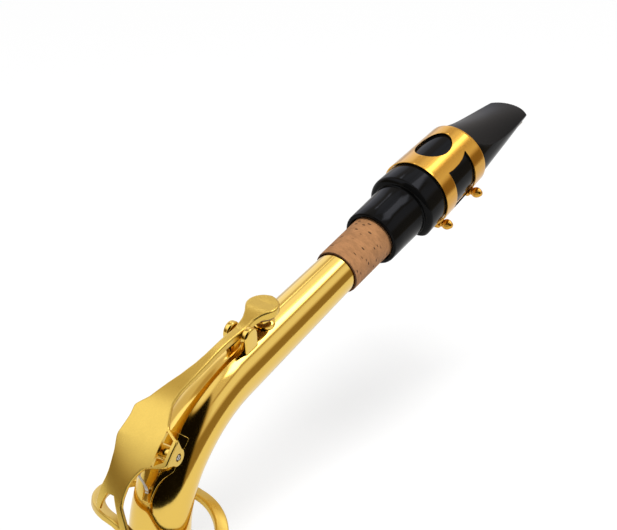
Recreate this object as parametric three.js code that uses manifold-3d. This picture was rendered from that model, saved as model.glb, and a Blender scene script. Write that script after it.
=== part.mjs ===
import * as THREE from 'three';
import { mergeVertices } from 'three/addons/utils/BufferGeometryUtils.js';
import Module from 'manifold-3d';

const wasm = await Module();
wasm.setup();

// An alto saxophone neck with its octave key, and the mouthpiece, reed and ligature on its cork.
// Millimetres. The origin is the centre of the tenon's lower end, +Z runs up the tenon,
// +X points towards the mouthpiece, and -Y is the player's left.

// Neck line, from the tenon's lower end to the small end
const riserLength = 34;
const lowBendRadius = 34;
const lowBendTurn = THREE.MathUtils.degToRad(40.5);
const highBendRadius = 55;
const highBendTurn = THREE.MathUtils.degToRad(35.5);
const bareRunLength = 65;
const corkedRunLength = 36.4;

// Neck tube
const tubeFootRadius = 10.8;
const tubeEndRadius = 6.75;
const tubeWall = 0.7;
const tubeInsertion = 8;

// Tenon, collar and small end
const tenonRadius = 12.1;
const tenonLength = 22.5;
const tenonWall = 0.9;
const tenonChamfer = 0.4;
const collarRadius = 13.6;
const collarHeight = 4.5;
const collarRound = 1.1;
const collarSeatRound = 0.3;
const collarRoofHeight = 1.6;
const endRingLength = 1.6;
const endRingWall = 0.75;

// Cork
const corkInnerEndRadius = 8.4;
const corkOuterEndRadius = 8.2;

// Octave pip and its pad
const pipSetback = 44;
const pipRadius = 2.3;
const pipHeight = 3.4;
const pipBoreRadius = 0.8;
const pipFlangeRadius = 3.9;
const pipFlangeHeight = 1.2;
const padRadius = 4.8;
const cupRadius = 5.8;
const cupWall = 0.7;
const cupDepth = 1.4;
const cupCrown = 2.6;

// Octave key: a sheet that stands off the neck line, from the ring up to the cup. Its places are measured
// along the neck line from the riser's end.
const keyRiseAtRing = 23.5;
const keyRiseAtCup = 15.5;
const ringPlace = 2;
const plateThickness = 1.6;
const plateBevel = 0.5;
const plateHalfWidth = 12.5;
const armThickness = 2.6;
const armBevel = 0.9;
const armHalfWidth = 2.4;
const tailEndPlace = 5.5;
const forkPlace = 9.5;
const forkOverlap = 1.5;
const plateTopPlace = 29.2;
const armStartPlace = 53;
const wrapFadePlace = 22;

// Key ring round the neck
const ringRadius = 23.6;
const ringWidth = 4.2;
const ringThickness = 2.6;
const ringRound = 0.8;
const ringCentrePlace = 4.6;
const ringTilt = THREE.MathUtils.degToRad(5.7);

// Pivot, saddle and hinge ears
const pivotPlace = 21.5;
const pivotRise = 16.8;
const barrelRadius = 2.9;
const barrelHalfLength = 8.1;
const pivotScrewRadius = 1.05;
const pivotScrewLength = 4.6;
const pivotSlotWidth = 0.4;
const pivotSlotDepth = 0.5;
const earThickness = 1.4;
const earRadius = 3.2;
const earHalfLength = 4.9;
const earSlotLength = 5.2;
const earSlotInset = 4.4;
const saddlePlateThickness = 0.8;
const saddlePlateTopPlace = 28;
const saddlePlateFootPlace = 8;
const saddlePlateHalfAngle = THREE.MathUtils.degToRad(34);
const webHalfWidth = 3;
const webHalfLength = 5.2;

// Flat spring under the key
const springThickness = 0.4;
const springHalfWidth = 1.9;
const springFixedPlace = 18.5;
const springFreePlace = 10.6;
const springFixedLength = 3.4;
const springScrewRadius = 1.3;
const springScrewHeadHeight = 0.9;

// Guide posts beside the arm, flat-sided with round tops
const guideSetback = 13.5;
const guideRadius = 3.2;
const guideThickness = 2.2;
const guideSide = 4;
const guideCentreRise = 13.4;
const guideBevel = 0.4;

// Mouthpiece, measured along its own axis from the shank's end
const corkShowing = 21.8;
const shankRadius = 10.3;
const shankLength = 18.6;
const shankEndRound = 0.8;
const bodyRadius = 12.8;
const bodyTaper = 1.5;
const bodyFrontRadius = bodyRadius - bodyTaper;
const bodyShoulderRound = 2.2;
const mouthpieceLength = 95;
const beakStart = 57;
const beakDip = 0.8;
const beakCrown = 6.4;
const tipCrown = 0.6;
const tipThickness = 1.1;
const tipBodyRadius = 7.6;
const tipHalfWidth = 7.3;
const tipArcDepth = 3;
const boreDepth = 28;
const throatRadius = 6.6;
const throatDepth = 56;
const windowStart = 51;
const windowEnd = 89.5;
const windowHalfWidth = 5;
const baffleWall = 2.2;

// Table and reed
const tableHeelDepth = 4.8;
const tableRise = 3.1;
const tableTipHeight = tableHeelDepth - bodyRadius + tableRise;
const tipAboveTable = 1.6;
const tipHeight = tableTipHeight + tipAboveTable;
const reedLength = 72.5;
const reedHeelThickness = 2.9;
const reedTipThickness = 0.45;
const reedBarkShare = 0.49;
const reedHeelHalfWidth = 6.1;
const reedTipHalfWidth = 7.2;
const reedHeelPlace = 21.6;

// Ligature. It sits turned a little on the body, its top to the player's right.
const ligatureBack = 29.6;
const ligatureFront = 56.3;
const ligatureBandWidth = 6.8;
const ligatureThickness = 0.5;
const ligatureTurn = THREE.MathUtils.degToRad(-4.5);
const ligatureGapShare = 0.547;
const bridgeEdgeHeight = 7.3;
const sideRailHeight = -8.4;
const windowPlace = 43.4;
const windowLength = 15.7;
const windowWidth = 12.2;
const lugWidth = 3.2;
const lugTopDepth = 1.5;
const lugFootDepth = 1.7;
const lugHalfLength = 2.3;
const ligatureScrewRadius = 0.85;
const ligatureScrewReach = 7.4;
const thumbHeadRadius = 1.85;
const thumbHeadLength = 3.9;
const thumbNeckLength = 0.6;
const thumbFluteRadius = 0.3;
const thumbFlutes = 12;

// Clearances
const seatGap = 0.3;
const corkGap = 0.25;
const runningGap = 0.35;
const bandGap = 0.3;
const overrun = 3;

// Facets
const tubeSides = 32;
const roundSides = 32;
const smallSides = 16;
const mouthpieceSides = 48;
const bandColumns = 40;
const thumbHeadSides = 24;
const fluteSides = 6;
const windowSegments = 16;
const leverColumns = 10;
const earSegments = 8;
const guideSegments = 10;
const bendStep = 3.2;
const weldTolerance = 1e-4;

// Finishes
const lacquer = new THREE.MeshStandardMaterial({ color: 0xe0b448, roughness: 0.16, metalness: 1 });
const satinBrass = new THREE.MeshStandardMaterial({ color: 0xd9b358, roughness: 0.42, metalness: 1 });
const ligatureGold = new THREE.MeshStandardMaterial({ color: 0xd9a43c, roughness: 0.25, metalness: 1 });
const rubber = new THREE.MeshStandardMaterial({ color: 0x0c0c0d, roughness: 0.12, metalness: 0 });
const corkBark = new THREE.MeshStandardMaterial({ color: 0xbb8454, roughness: 0.85, metalness: 0 });
const cane = new THREE.MeshStandardMaterial({ color: 0xd8b878, roughness: 0.6, metalness: 0 });
const springSteel = new THREE.MeshStandardMaterial({ color: 0xaeb2b8, roughness: 0.3, metalness: 1 });
const padLeather = new THREE.MeshStandardMaterial({ color: 0x9b6a3c, roughness: 0.8, metalness: 0 });

// Closed meshes and booleans

// A mesh from points and triangles, turned so that its faces point out
function closedMesh(points, triangles) {
  let sixfoldVolume = 0;
  const cross = new THREE.Vector3();
  for (const [a, b, c] of triangles) {
    sixfoldVolume += points[a].dot(cross.crossVectors(points[b], points[c]));
  }
  const outward = sixfoldVolume > 0 ? triangles : triangles.map(([a, b, c]) => [a, c, b]);
  const geometry = new THREE.BufferGeometry();
  geometry.setFromPoints(points);
  geometry.setIndex(outward.flat());
  return geometry;
}

function solidOf(geometry) {
  const bare = geometry.clone();
  bare.deleteAttribute('normal');
  bare.deleteAttribute('uv');
  const welded = mergeVertices(bare, weldTolerance);
  const corners = welded.index.array;
  const kept = [];
  for (let i = 0; i < corners.length; i += 3) {
    const [a, b, c] = [corners[i], corners[i + 1], corners[i + 2]];
    if (a !== b && b !== c && c !== a) kept.push(a, b, c);
  }
  return new wasm.Manifold(new wasm.Mesh({
    numProp: 3,
    vertProperties: new Float32Array(welded.attributes.position.array),
    triVerts: new Uint32Array(kept),
  }));
}

function geometryOf(solid) {
  const mesh = solid.getMesh();
  const geometry = new THREE.BufferGeometry();
  geometry.setAttribute('position', new THREE.BufferAttribute(mesh.vertProperties, 3));
  geometry.setIndex(new THREE.BufferAttribute(mesh.triVerts, 1));
  return geometry;
}

function cut(body, ...tools) {
  return geometryOf(tools.reduce((rest, tool) => rest.subtract(solidOf(tool)), solidOf(body)));
}

function join(body, ...others) {
  return geometryOf(others.reduce((sum, other) => sum.add(solidOf(other)), solidOf(body)));
}

// Even steps from one value to another, each no longer than the step asked for
function steps(from, to, step) {
  const count = Math.max(1, Math.ceil(Math.abs(to - from) / step - weldTolerance));
  return Array.from({ length: count + 1 }, (_, i) => from + ((to - from) * i) / count);
}

// Loops of points joined side by side. An open stack is capped by fans, a closed one joins its ends.
function loft(loops, closed = false) {
  const sides = loops[0].length;
  const points = loops.flat();
  const triangles = [];
  const pairs = closed ? loops.length : loops.length - 1;
  for (let i = 0; i < pairs; i += 1) {
    const here = i * sides;
    const next = ((i + 1) % loops.length) * sides;
    for (let j = 0; j < sides; j += 1) {
      const k = (j + 1) % sides;
      triangles.push([here + j, here + k, next + k], [here + j, next + k, next + j]);
    }
  }
  if (!closed) {
    const first = points.length;
    const last = (loops.length - 1) * sides;
    for (const loop of [loops[0], loops[loops.length - 1]]) {
      const middle = new THREE.Vector3();
      loop.forEach((point) => middle.add(point));
      points.push(middle.divideScalar(sides));
    }
    for (let j = 0; j < sides; j += 1) {
      const k = (j + 1) % sides;
      triangles.push([first, k, j], [first + 1, last + j, last + k]);
    }
  }
  return closedMesh(points, triangles);
}

// A sheet between two grids of points of the same size
function slab(over, under) {
  const rows = over.length;
  const columns = over[0].length;
  const points = [...over.flat(), ...under.flat()];
  const half = rows * columns;
  const at = (i, j) => i * columns + j;
  const triangles = [];
  const quad = (a, b, c, d) => triangles.push([a, b, c], [a, c, d]);
  for (let i = 0; i < rows - 1; i += 1) {
    for (let j = 0; j < columns - 1; j += 1) {
      quad(at(i, j), at(i, j + 1), at(i + 1, j + 1), at(i + 1, j));
      quad(half + at(i, j), half + at(i + 1, j), half + at(i + 1, j + 1), half + at(i, j + 1));
    }
    quad(at(i, 0), at(i + 1, 0), half + at(i + 1, 0), half + at(i, 0));
    const end = columns - 1;
    quad(at(i, end), half + at(i, end), half + at(i + 1, end), at(i + 1, end));
  }
  for (let j = 0; j < columns - 1; j += 1) {
    quad(at(0, j), half + at(0, j), half + at(0, j + 1), at(0, j + 1));
    const end = rows - 1;
    quad(at(end, j), at(end, j + 1), half + at(end, j + 1), half + at(end, j));
  }
  return closedMesh(points, triangles);
}

// A profile of [radius, along] points turned round the Z axis
function revolve(profile, sides = roundSides) {
  const points = profile.map(([radius, along]) => new THREE.Vector2(radius, along));
  return new THREE.LatheGeometry(points, sides).rotateX(Math.PI / 2);
}

const ringProfile = (inner, outer, low, high) => [
  [inner, low],
  [outer, low],
  [outer, high],
  [inner, high],
  [inner, low],
];
const rodProfile = (radius, low, high) => [[0, low], [radius, low], [radius, high], [0, high]];

// Neck line

// The place, heading and outward direction of the neck line at a length along it, in the XZ plane
function neckAt(level) {
  const place = new THREE.Vector2(0, Math.min(level, riserLength));
  let heading = Math.PI / 2;
  let left = level - riserLength;
  for (const [radius, turn] of [[lowBendRadius, lowBendTurn], [highBendRadius, highBendTurn]]) {
    if (left <= 0) break;
    const angle = Math.min(left / radius, turn);
    const before = new THREE.Vector2(Math.sin(heading), -Math.cos(heading));
    heading -= angle;
    const after = new THREE.Vector2(Math.sin(heading), -Math.cos(heading));
    place.add(before.sub(after).multiplyScalar(radius));
    left -= radius * turn;
  }
  const along = new THREE.Vector2(Math.cos(heading), Math.sin(heading));
  if (left > 0) place.addScaledVector(along, left);
  return { place, along, heading, out: new THREE.Vector2(-along.y, along.x) };
}

const bendEndLevel = riserLength + lowBendRadius * lowBendTurn + highBendRadius * highBendTurn;
const corkLevel = bendEndLevel + bareRunLength;
const tubeEndLevel = corkLevel + corkedRunLength;
const tubeStartLevel = tenonLength + collarHeight - tubeInsertion;
const pipLevel = corkLevel - pipSetback;
const guideLevel = pipLevel - guideSetback;
const ringLevel = riserLength + ringPlace;
const tailEndLevel = riserLength + tailEndPlace;
const forkLevel = riserLength + forkPlace;
const plateTopLevel = riserLength + plateTopPlace;
const armStartLevel = riserLength + armStartPlace;
const wrapFadeLevel = riserLength + wrapFadePlace;
const pivotLevel = riserLength + pivotPlace;
const saddlePlateTopLevel = riserLength + saddlePlateTopPlace;
const saddlePlateFootLevel = riserLength + saddlePlateFootPlace;
const springFixedLevel = riserLength + springFixedPlace;
const springFreeLevel = riserLength + springFreePlace;

// A point at a length along the neck, raised from the line and moved sideways
function neckPoint(level, rise, side) {
  const { place, out } = neckAt(level);
  return new THREE.Vector3(place.x + out.x * rise, side, place.y + out.y * rise);
}

function tubeRadius(level) {
  const share = (level - tubeStartLevel) / (tubeEndLevel - tubeStartLevel);
  return THREE.MathUtils.lerp(tubeFootRadius, tubeEndRadius, share);
}

function neckLoop(level, radius) {
  return Array.from({ length: tubeSides }, (_, i) => {
    const angle = (2 * Math.PI * i) / tubeSides;
    return neckPoint(level, radius * Math.cos(angle), radius * Math.sin(angle));
  });
}

const tubeLevels = [tubeStartLevel, ...steps(riserLength, bendEndLevel, bendStep), tubeEndLevel];

// Puts a piece that is made round the Z axis on the neck, with its Z along the neck's outward direction
function standOnNeck(geometry, level, side) {
  const { place, along, out } = neckAt(level);
  const frame = new THREE.Matrix4().makeBasis(
    new THREE.Vector3(along.x, 0, along.y),
    new THREE.Vector3(0, 1, 0),
    new THREE.Vector3(out.x, 0, out.y),
  );
  frame.setPosition(place.x, side, place.y);
  return geometry.applyMatrix4(frame);
}

// Puts a piece that is made round the Z axis round the neck line
function threadOnNeck(geometry, level) {
  const { place, heading } = neckAt(level);
  return geometry.rotateY(Math.PI / 2 - heading).translate(place.x, 0, place.y);
}

// The space that the neck tube takes, with a clearance, for cutting what sits on it
function tubeEnvelope(clearance) {
  return loft(tubeLevels.map((level) => neckLoop(level, tubeRadius(level) + clearance)));
}

// Neck pieces

function neckTube() {
  const outer = tubeLevels.map((level) => neckLoop(level, tubeRadius(level)));
  const inner = tubeLevels.map((level) => neckLoop(level, tubeRadius(level) - tubeWall)).reverse();
  const pipHole = revolve(rodProfile(pipBoreRadius, 0, tubeRadius(pipLevel) + overrun), smallSides);
  return cut(loft([...outer, ...inner], true), standOnNeck(pipHole, pipLevel, 0));
}

function tenon() {
  const bore = tenonRadius - tenonWall;
  const high = tenonLength + collarHeight - collarRoofHeight - seatGap;
  return revolve([
    [bore, 0],
    [tenonRadius - tenonChamfer, 0],
    [tenonRadius, tenonChamfer],
    [tenonRadius, high],
    [bore, high],
    [bore, 0],
  ]);
}

// The collar is a ring round the tenon's top end, and its lower face seats on the receiver
function tenonCollar() {
  const bore = tenonRadius + seatGap;
  const low = tenonLength;
  const high = tenonLength + collarHeight;
  const roof = high - collarRoofHeight;
  const roofBore = tubeRadius(tenonLength) + seatGap;
  return revolve([
    [bore, low],
    [collarRadius - collarSeatRound, low],
    [collarRadius, low + collarSeatRound],
    [collarRadius, high - collarRound],
    [collarRadius - collarRound * 0.3, high - collarRound * 0.3],
    [collarRadius - collarRound, high],
    [roofBore, high],
    [roofBore, roof],
    [bore, roof],
    [bore, low],
  ]);
}

function endRing() {
  const startLevel = tubeEndLevel - endRingLength;
  const bore = tubeRadius(startLevel) + corkGap;
  return threadOnNeck(revolve(ringProfile(bore, bore + endRingWall, 0, endRingLength)), startLevel);
}

function neckCork() {
  const length = corkedRunLength - endRingLength - seatGap;
  return threadOnNeck(revolve([
    [tubeRadius(corkLevel) + corkGap, 0],
    [corkInnerEndRadius, 0],
    [corkOuterEndRadius, length],
    [tubeRadius(corkLevel + length) + corkGap, length],
    [tubeRadius(corkLevel) + corkGap, 0],
  ]), corkLevel);
}

function octavePip() {
  const surface = tubeRadius(pipLevel);
  const flangeTop = surface + pipFlangeHeight;
  const blank = revolve([
    [pipBoreRadius, 0],
    [pipFlangeRadius, 0],
    [pipFlangeRadius, flangeTop - pipFlangeHeight / 3],
    [pipRadius + pipFlangeHeight / 3, flangeTop],
    [pipRadius, surface + pipHeight],
    [pipBoreRadius, surface + pipHeight],
    [pipBoreRadius, 0],
  ], smallSides);
  return cut(standOnNeck(blank, pipLevel, 0), tubeEnvelope(seatGap));
}

// The sheet that the saddle stands on: square shoulders, and sides that sweep in to a narrow foot
function saddlePlate() {
  const outlineShares = [
    [0, 0.24], [0.1, 0.27], [0.25, 0.38], [0.36, 0.56], [0.5, 0.97], [0.95, 1], [1, 0.96],
  ];
  const columns = 8;
  const rows = outlineShares.map(([share, angleShare]) => {
    const level = THREE.MathUtils.lerp(saddlePlateFootLevel, saddlePlateTopLevel, share);
    return { level, half: angleShare * saddlePlateHalfAngle };
  });
  const grid = (lift) => rows.map(({ level, half }) => Array.from({ length: columns + 1 }, (_, j) => {
    const angle = half * ((2 * j) / columns - 1);
    const radius = (tubeRadius(level) + lift) / Math.cos(Math.PI / tubeSides);
    return neckPoint(level, radius * Math.cos(angle), radius * Math.sin(angle));
  }));
  return slab(grid(seatGap + saddlePlateThickness), grid(seatGap));
}

// The barrel that the key pivots on, on a web that spreads to the saddle plate
function saddlePost() {
  const barrel = revolve(rodProfile(barrelRadius, -barrelHalfLength, barrelHalfLength), smallSides);
  barrel.rotateX(Math.PI / 2).translate(0, 0, pivotRise);
  const outline = new THREE.Shape([
    new THREE.Vector2(-webHalfLength, 0),
    new THREE.Vector2(webHalfLength, 0),
    new THREE.Vector2(barrelRadius * 0.8, pivotRise),
    new THREE.Vector2(-barrelRadius * 0.8, pivotRise),
  ]);
  const web = new THREE.ExtrudeGeometry(outline, { depth: 2 * webHalfWidth, bevelEnabled: false });
  web.translate(0, 0, -webHalfWidth).rotateX(Math.PI / 2);
  const body = join(standOnNeck(web, pivotLevel, 0), standOnNeck(barrel, pivotLevel, 0));
  const hole = (side) => {
    const inner = barrelHalfLength - pivotScrewLength + earThickness;
    const profile = rodProfile(pivotScrewRadius + runningGap, inner, barrelHalfLength + overrun);
    const drill = revolve(profile, smallSides);
    drill.rotateX((side * -Math.PI) / 2).translate(0, 0, pivotRise);
    return standOnNeck(drill, pivotLevel, 0);
  };
  return cut(body, tubeEnvelope(saddlePlateThickness + 2 * seatGap), hole(1), hole(-1));
}

function guidePost(side) {
  const outline = new THREE.Shape();
  outline.moveTo(-guideRadius, 0);
  outline.lineTo(guideRadius, 0);
  outline.absarc(0, guideCentreRise, guideRadius, 0, Math.PI, false);
  outline.closePath();
  const plate = new THREE.ExtrudeGeometry(outline, {
    depth: guideThickness - 2 * guideBevel,
    bevelThickness: guideBevel,
    bevelSize: guideBevel,
    bevelOffset: -guideBevel,
    bevelSegments: 1,
    curveSegments: guideSegments,
  });
  plate.translate(0, 0, guideBevel - guideThickness / 2).rotateX(Math.PI / 2);
  return cut(standOnNeck(plate, guideLevel, side * guideSide), tubeEnvelope(seatGap));
}

// Octave key

function keyRise(level) {
  const share = (level - ringLevel) / (pipLevel - ringLevel);
  return THREE.MathUtils.lerp(keyRiseAtRing, keyRiseAtCup, share);
}

// Near the ring the sheet follows the ring's curve, and the wrap fades out up the plate
function keyPoint(level, side, lift) {
  const fade = THREE.MathUtils.clamp((wrapFadeLevel - level) / (wrapFadeLevel - ringLevel), 0, 1);
  const drop = ringRadius - Math.sqrt(ringRadius * ringRadius - side * side);
  return neckPoint(level, keyRise(level) - fade * drop + lift, side);
}

// A strip of the key's sheet through rows of [level, near edge, far edge], bevelled along both edges
function keyStrip(rows, thicknessAt, bevelAt, columns = 6) {
  const sides = ([, near, far], bevel) => {
    const inner = Array.from({ length: columns - 1 }, (_, j) => {
      const share = j / (columns - 2);
      return THREE.MathUtils.lerp(near + bevel, far - bevel, share);
    });
    return [near, ...inner, far];
  };
  const grid = (face) => rows.map((row) => {
    const [level] = row;
    const bevel = bevelAt(level);
    return sides(row, bevel).map((side, j) => {
      const edge = j === 0 || j === columns;
      const lift = face * (thicknessAt(level) / 2) - (face > 0 && edge ? bevel : 0);
      return keyPoint(level, side, lift);
    });
  });
  return slab(grid(1), grid(-1));
}

const plateThicknessAt = () => plateThickness;
const plateBevelAt = () => plateBevel;

// The sheet thickens from the plate to the arm
function armShareAt(level) {
  return THREE.MathUtils.clamp((level - plateTopLevel) / (armStartLevel - plateTopLevel), 0, 1);
}

const keyThicknessAt = (level) => THREE.MathUtils.lerp(plateThickness, armThickness, armShareAt(level));
const keyBevelAt = (level) => THREE.MathUtils.lerp(plateBevel, armBevel, armShareAt(level));

// Rows of shares: how far up the plate, and the near and far edges as shares of its half width
function stripRows(lowLevel, highLevel, edgeShares) {
  return edgeShares.map(([share, nearShare, farShare]) => [
    THREE.MathUtils.lerp(lowLevel, highLevel, share),
    nearShare * plateHalfWidth,
    farShare * plateHalfWidth,
  ]);
}

function octaveLever() {
  const plateShares = [
    [0, 0.14, 1.02], [0.13, 0.11, 0.91], [0.23, 0.03, 0.87], [0.33, -0.11, 0.88], [0.38, -0.2, 0.89],
    [0.44, -0.78, 0.92], [0.6, -0.78, 0.99], [0.74, -0.78, 0.97], [0.86, -0.34, 0.94], [1, -0.21, 0.91],
  ];
  const waistShares = [
    [0.13, -0.08, 0.67], [0.27, -0.06, 0.53], [0.5, -0.11, 0.34], [0.71, -0.15, 0.21], [0.87, -0.18, 0.15],
  ];
  const armShares = [[1.5, 1.12, 1.05], [1, 1.5, 1.5], [0.5, 2.12, 2.12]];
  const armRows = armShares.map(([backShare, nearShare, farShare]) => [
    pipLevel - backShare * cupRadius,
    -nearShare * armHalfWidth,
    farShare * armHalfWidth,
  ]);
  const rows = [
    ...stripRows(forkLevel, plateTopLevel, plateShares),
    ...stripRows(plateTopLevel, armStartLevel, waistShares),
    [armStartLevel, -armHalfWidth, 0.8 * armHalfWidth],
    ...armRows,
  ];
  const tailShares = [[0, -0.07, 0.17], [0.4, 0.12, 0.34], [0.7, 0.14, 0.46], [1, 0.13, 0.56]];
  const prongShares = [[0, 0.72, 1.03], [0.3, 0.66, 1.07], [0.65, 0.66, 1.02], [1, 0.7, 0.94]];
  const [tail, prong] = [tailShares, prongShares].map((edgeShares) => (
    keyStrip(stripRows(tailEndLevel, forkLevel + forkOverlap, edgeShares), plateThicknessAt, plateBevelAt)
  ));
  const cupBase = keyRiseAtCup - armThickness / 2;
  const cup = revolve([
    [0, cupBase],
    [cupRadius - cupWall, cupBase],
    [cupRadius - cupWall, cupBase - cupDepth],
    [cupRadius, cupBase - cupDepth],
    [cupRadius, cupBase + cupCrown * 0.35],
    [cupRadius * 0.94, cupBase + cupCrown * 0.7],
    [cupRadius * 0.74, cupBase + cupCrown * 0.92],
    [0, cupBase + cupCrown],
  ]);
  const slotWidth = barrelHalfLength - earSlotInset - seatGap;
  const slot = new THREE.BoxGeometry(earSlotLength, slotWidth, keyRiseAtRing);
  slot.translate(0, -earSlotInset - slotWidth / 2, pivotRise + keyRiseAtRing / 2);
  const strip = keyStrip(rows, keyThicknessAt, keyBevelAt, leverColumns);
  const sheet = cut(strip, standOnNeck(slot, pivotLevel, 0));
  return join(sheet, tail, prong, standOnNeck(cup, pipLevel, 0), hingeEar(-1), hingeEar(1));
}

function octavePad() {
  const top = keyRiseAtCup - armThickness / 2 - seatGap;
  const low = tubeRadius(pipLevel) + pipHeight + seatGap;
  return standOnNeck(revolve(rodProfile(padRadius, low, top)), pipLevel, 0);
}

function keyRing() {
  const inner = ringRadius - ringWidth;
  const half = ringThickness / 2;
  const ring = revolve([
    [inner + ringRound / 2, -half],
    [ringRadius - ringRound, -half],
    [ringRadius, -half + ringRound],
    [ringRadius, half - ringRound],
    [ringRadius - ringRound, half],
    [inner + ringRound / 2, half],
    [inner, half - ringRound / 2],
    [inner, -half + ringRound / 2],
    [inner + ringRound / 2, -half],
  ], mouthpieceSides);
  return ring.rotateY(ringTilt).translate(0, 0, riserLength + ringCentrePlace);
}

// A hinge ear: a cheek that hangs from the key's sheet beside the barrel, bored for its pivot screw
function hingeEar(side) {
  const rise = keyRise(pivotLevel);
  const outline = new THREE.Shape();
  outline.moveTo(-earHalfLength, rise);
  outline.absarc(0, pivotRise, earRadius, Math.PI * 0.95, Math.PI * 2.05, false);
  outline.lineTo(earHalfLength, rise);
  const cheek = new THREE.ExtrudeGeometry(outline, {
    depth: earThickness,
    bevelEnabled: false,
    curveSegments: earSegments,
  });
  cheek.rotateX(Math.PI / 2).translate(0, earThickness, 0);
  const inside = barrelHalfLength + seatGap;
  const hung = standOnNeck(cheek, pivotLevel, side < 0 ? -inside - earThickness : inside);
  const profile = rodProfile(pivotScrewRadius + runningGap, inside - overrun, inside + overrun);
  const drill = revolve(profile, smallSides);
  drill.rotateX((side * -Math.PI) / 2).translate(0, 0, pivotRise);
  return cut(hung, standOnNeck(drill, pivotLevel, 0));
}

// A pointed pivot screw with a slot, turned so that its head faces out
function pivotScrew(side) {
  const outer = barrelHalfLength + seatGap + earThickness;
  const inner = outer - pivotScrewLength;
  const rod = revolve([
    [0, inner],
    [pivotScrewRadius * 0.4, inner],
    [pivotScrewRadius, inner + pivotScrewRadius],
    [pivotScrewRadius, outer],
    [0, outer],
  ], smallSides);
  const slot = new THREE.BoxGeometry(4 * pivotScrewRadius, pivotSlotWidth, 2 * pivotSlotDepth);
  const screw = cut(rod, slot.translate(0, 0, outer));
  return standOnNeck(screw.rotateX((side * -Math.PI) / 2).translate(0, 0, pivotRise), pivotLevel, 0);
}

// A flat spring: flat under the plate, then curving in to press on the saddle plate's foot
function springRise(level) {
  const fixedRise = keyRise(level) - plateThickness / 2 - seatGap - springThickness / 2;
  const freeRise = tubeRadius(level) + saddlePlateThickness + 2 * seatGap + springThickness;
  const bendLevel = springFixedLevel - springFixedLength;
  const share = THREE.MathUtils.clamp((bendLevel - level) / (bendLevel - springFreeLevel), 0, 1);
  return THREE.MathUtils.lerp(fixedRise, freeRise, Math.sin((share * Math.PI) / 2));
}

function keySpring() {
  const bendLevel = springFixedLevel - springFixedLength;
  const levels = [springFixedLevel, ...steps(bendLevel, springFreeLevel, springFixedLength / 4)];
  const at = levels.map((level) => neckPoint(level, springRise(level), 0));
  const face = (sign) => at.map((point, i) => {
    const before = at[Math.max(i - 1, 0)];
    const after = at[Math.min(i + 1, at.length - 1)];
    const along = after.clone().sub(before).normalize();
    const across = new THREE.Vector3(-along.z, 0, along.x).multiplyScalar((sign * springThickness) / 2);
    return [-springHalfWidth, springHalfWidth].map((side) => point.clone().add(across).setY(side));
  });
  return slab(face(1), face(-1));
}

function springScrew() {
  const level = springFixedLevel - springFixedLength / 2;
  const high = springRise(level) - springThickness / 2 - seatGap;
  const screw = revolve([
    [0, high - springScrewHeadHeight],
    [springScrewRadius * 0.8, high - springScrewHeadHeight],
    [springScrewRadius, high - springScrewHeadHeight / 2],
    [springScrewRadius, high],
    [0, high],
  ], smallSides);
  return standOnNeck(screw, level, 0);
}

// Mouthpiece, reed and ligature, in the mouthpiece's own frame: +X from the shank to the tip, +Z up

const alongX = (geometry) => geometry.rotateY(Math.PI / 2);
const mouthpieceBore = corkInnerEndRadius + seatGap;
const shoulderPlace = shankLength + bodyShoulderRound;

function bodyRadiusAt(along) {
  return THREE.MathUtils.mapLinear(along, shoulderPlace, beakStart, bodyRadius, bodyFrontRadius);
}

function tableHeightAt(along) {
  const tableHeelHeight = tableHeelDepth - bodyRadius;
  return THREE.MathUtils.mapLinear(along, reedHeelPlace, mouthpieceLength, tableHeelHeight, tableTipHeight);
}

// A prism along Y from an outline in the XZ plane
function prismAlongY(outline, halfWidth) {
  const shape = new THREE.Shape(outline.map(([along, height]) => new THREE.Vector2(along, height)));
  const prism = new THREE.ExtrudeGeometry(shape, { depth: 2 * halfWidth, bevelEnabled: false });
  return prism.translate(0, 0, -halfWidth).rotateX(Math.PI / 2);
}

// Heights of the beak's top along its middle, from the body to the tip, dipping a little between them
function beakHeightAt(along) {
  const share = (along - beakStart) / (mouthpieceLength - beakStart);
  const straight = THREE.MathUtils.lerp(bodyFrontRadius, tipHeight + tipThickness / 2, share);
  return straight - beakDip * Math.sin(Math.PI * THREE.MathUtils.clamp(share, 0, 1));
}

// The space over the beak. Its floor is crowned across like the body at first, and nearly flat at the tip.
function overBeak() {
  const rows = steps(beakStart - overrun, mouthpieceLength + overrun, (mouthpieceLength - beakStart) / 8);
  const reach = bodyRadius + overrun;
  const across = steps(-reach, reach, reach / 6);
  const floor = rows.map((along) => across.map((side) => {
    const share = THREE.MathUtils.clamp((along - beakStart) / (mouthpieceLength - beakStart), 0, 1);
    const crown = THREE.MathUtils.lerp(beakCrown, tipCrown, share * share);
    const sideShare = side / bodyFrontRadius;
    return new THREE.Vector3(along, side, beakHeightAt(along) - crown * sideShare * sideShare);
  }));
  const roof = rows.map((along) => across.map((side) => new THREE.Vector3(along, side, 2 * reach)));
  return slab(roof, floor);
}

// The space past the tip, which is arched in plan
function beyondTip() {
  const reach = bodyRadius + overrun;
  const across = steps(-reach, reach, reach / 12);
  const wall = (offset) => [-reach, reach].map((height) => across.map((side) => {
    const sideShare = side / tipHalfWidth;
    return new THREE.Vector3(mouthpieceLength - tipArcDepth * sideShare * sideShare + offset, side, height);
  }));
  return slab(wall(0), wall(mouthpieceLength));
}

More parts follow.
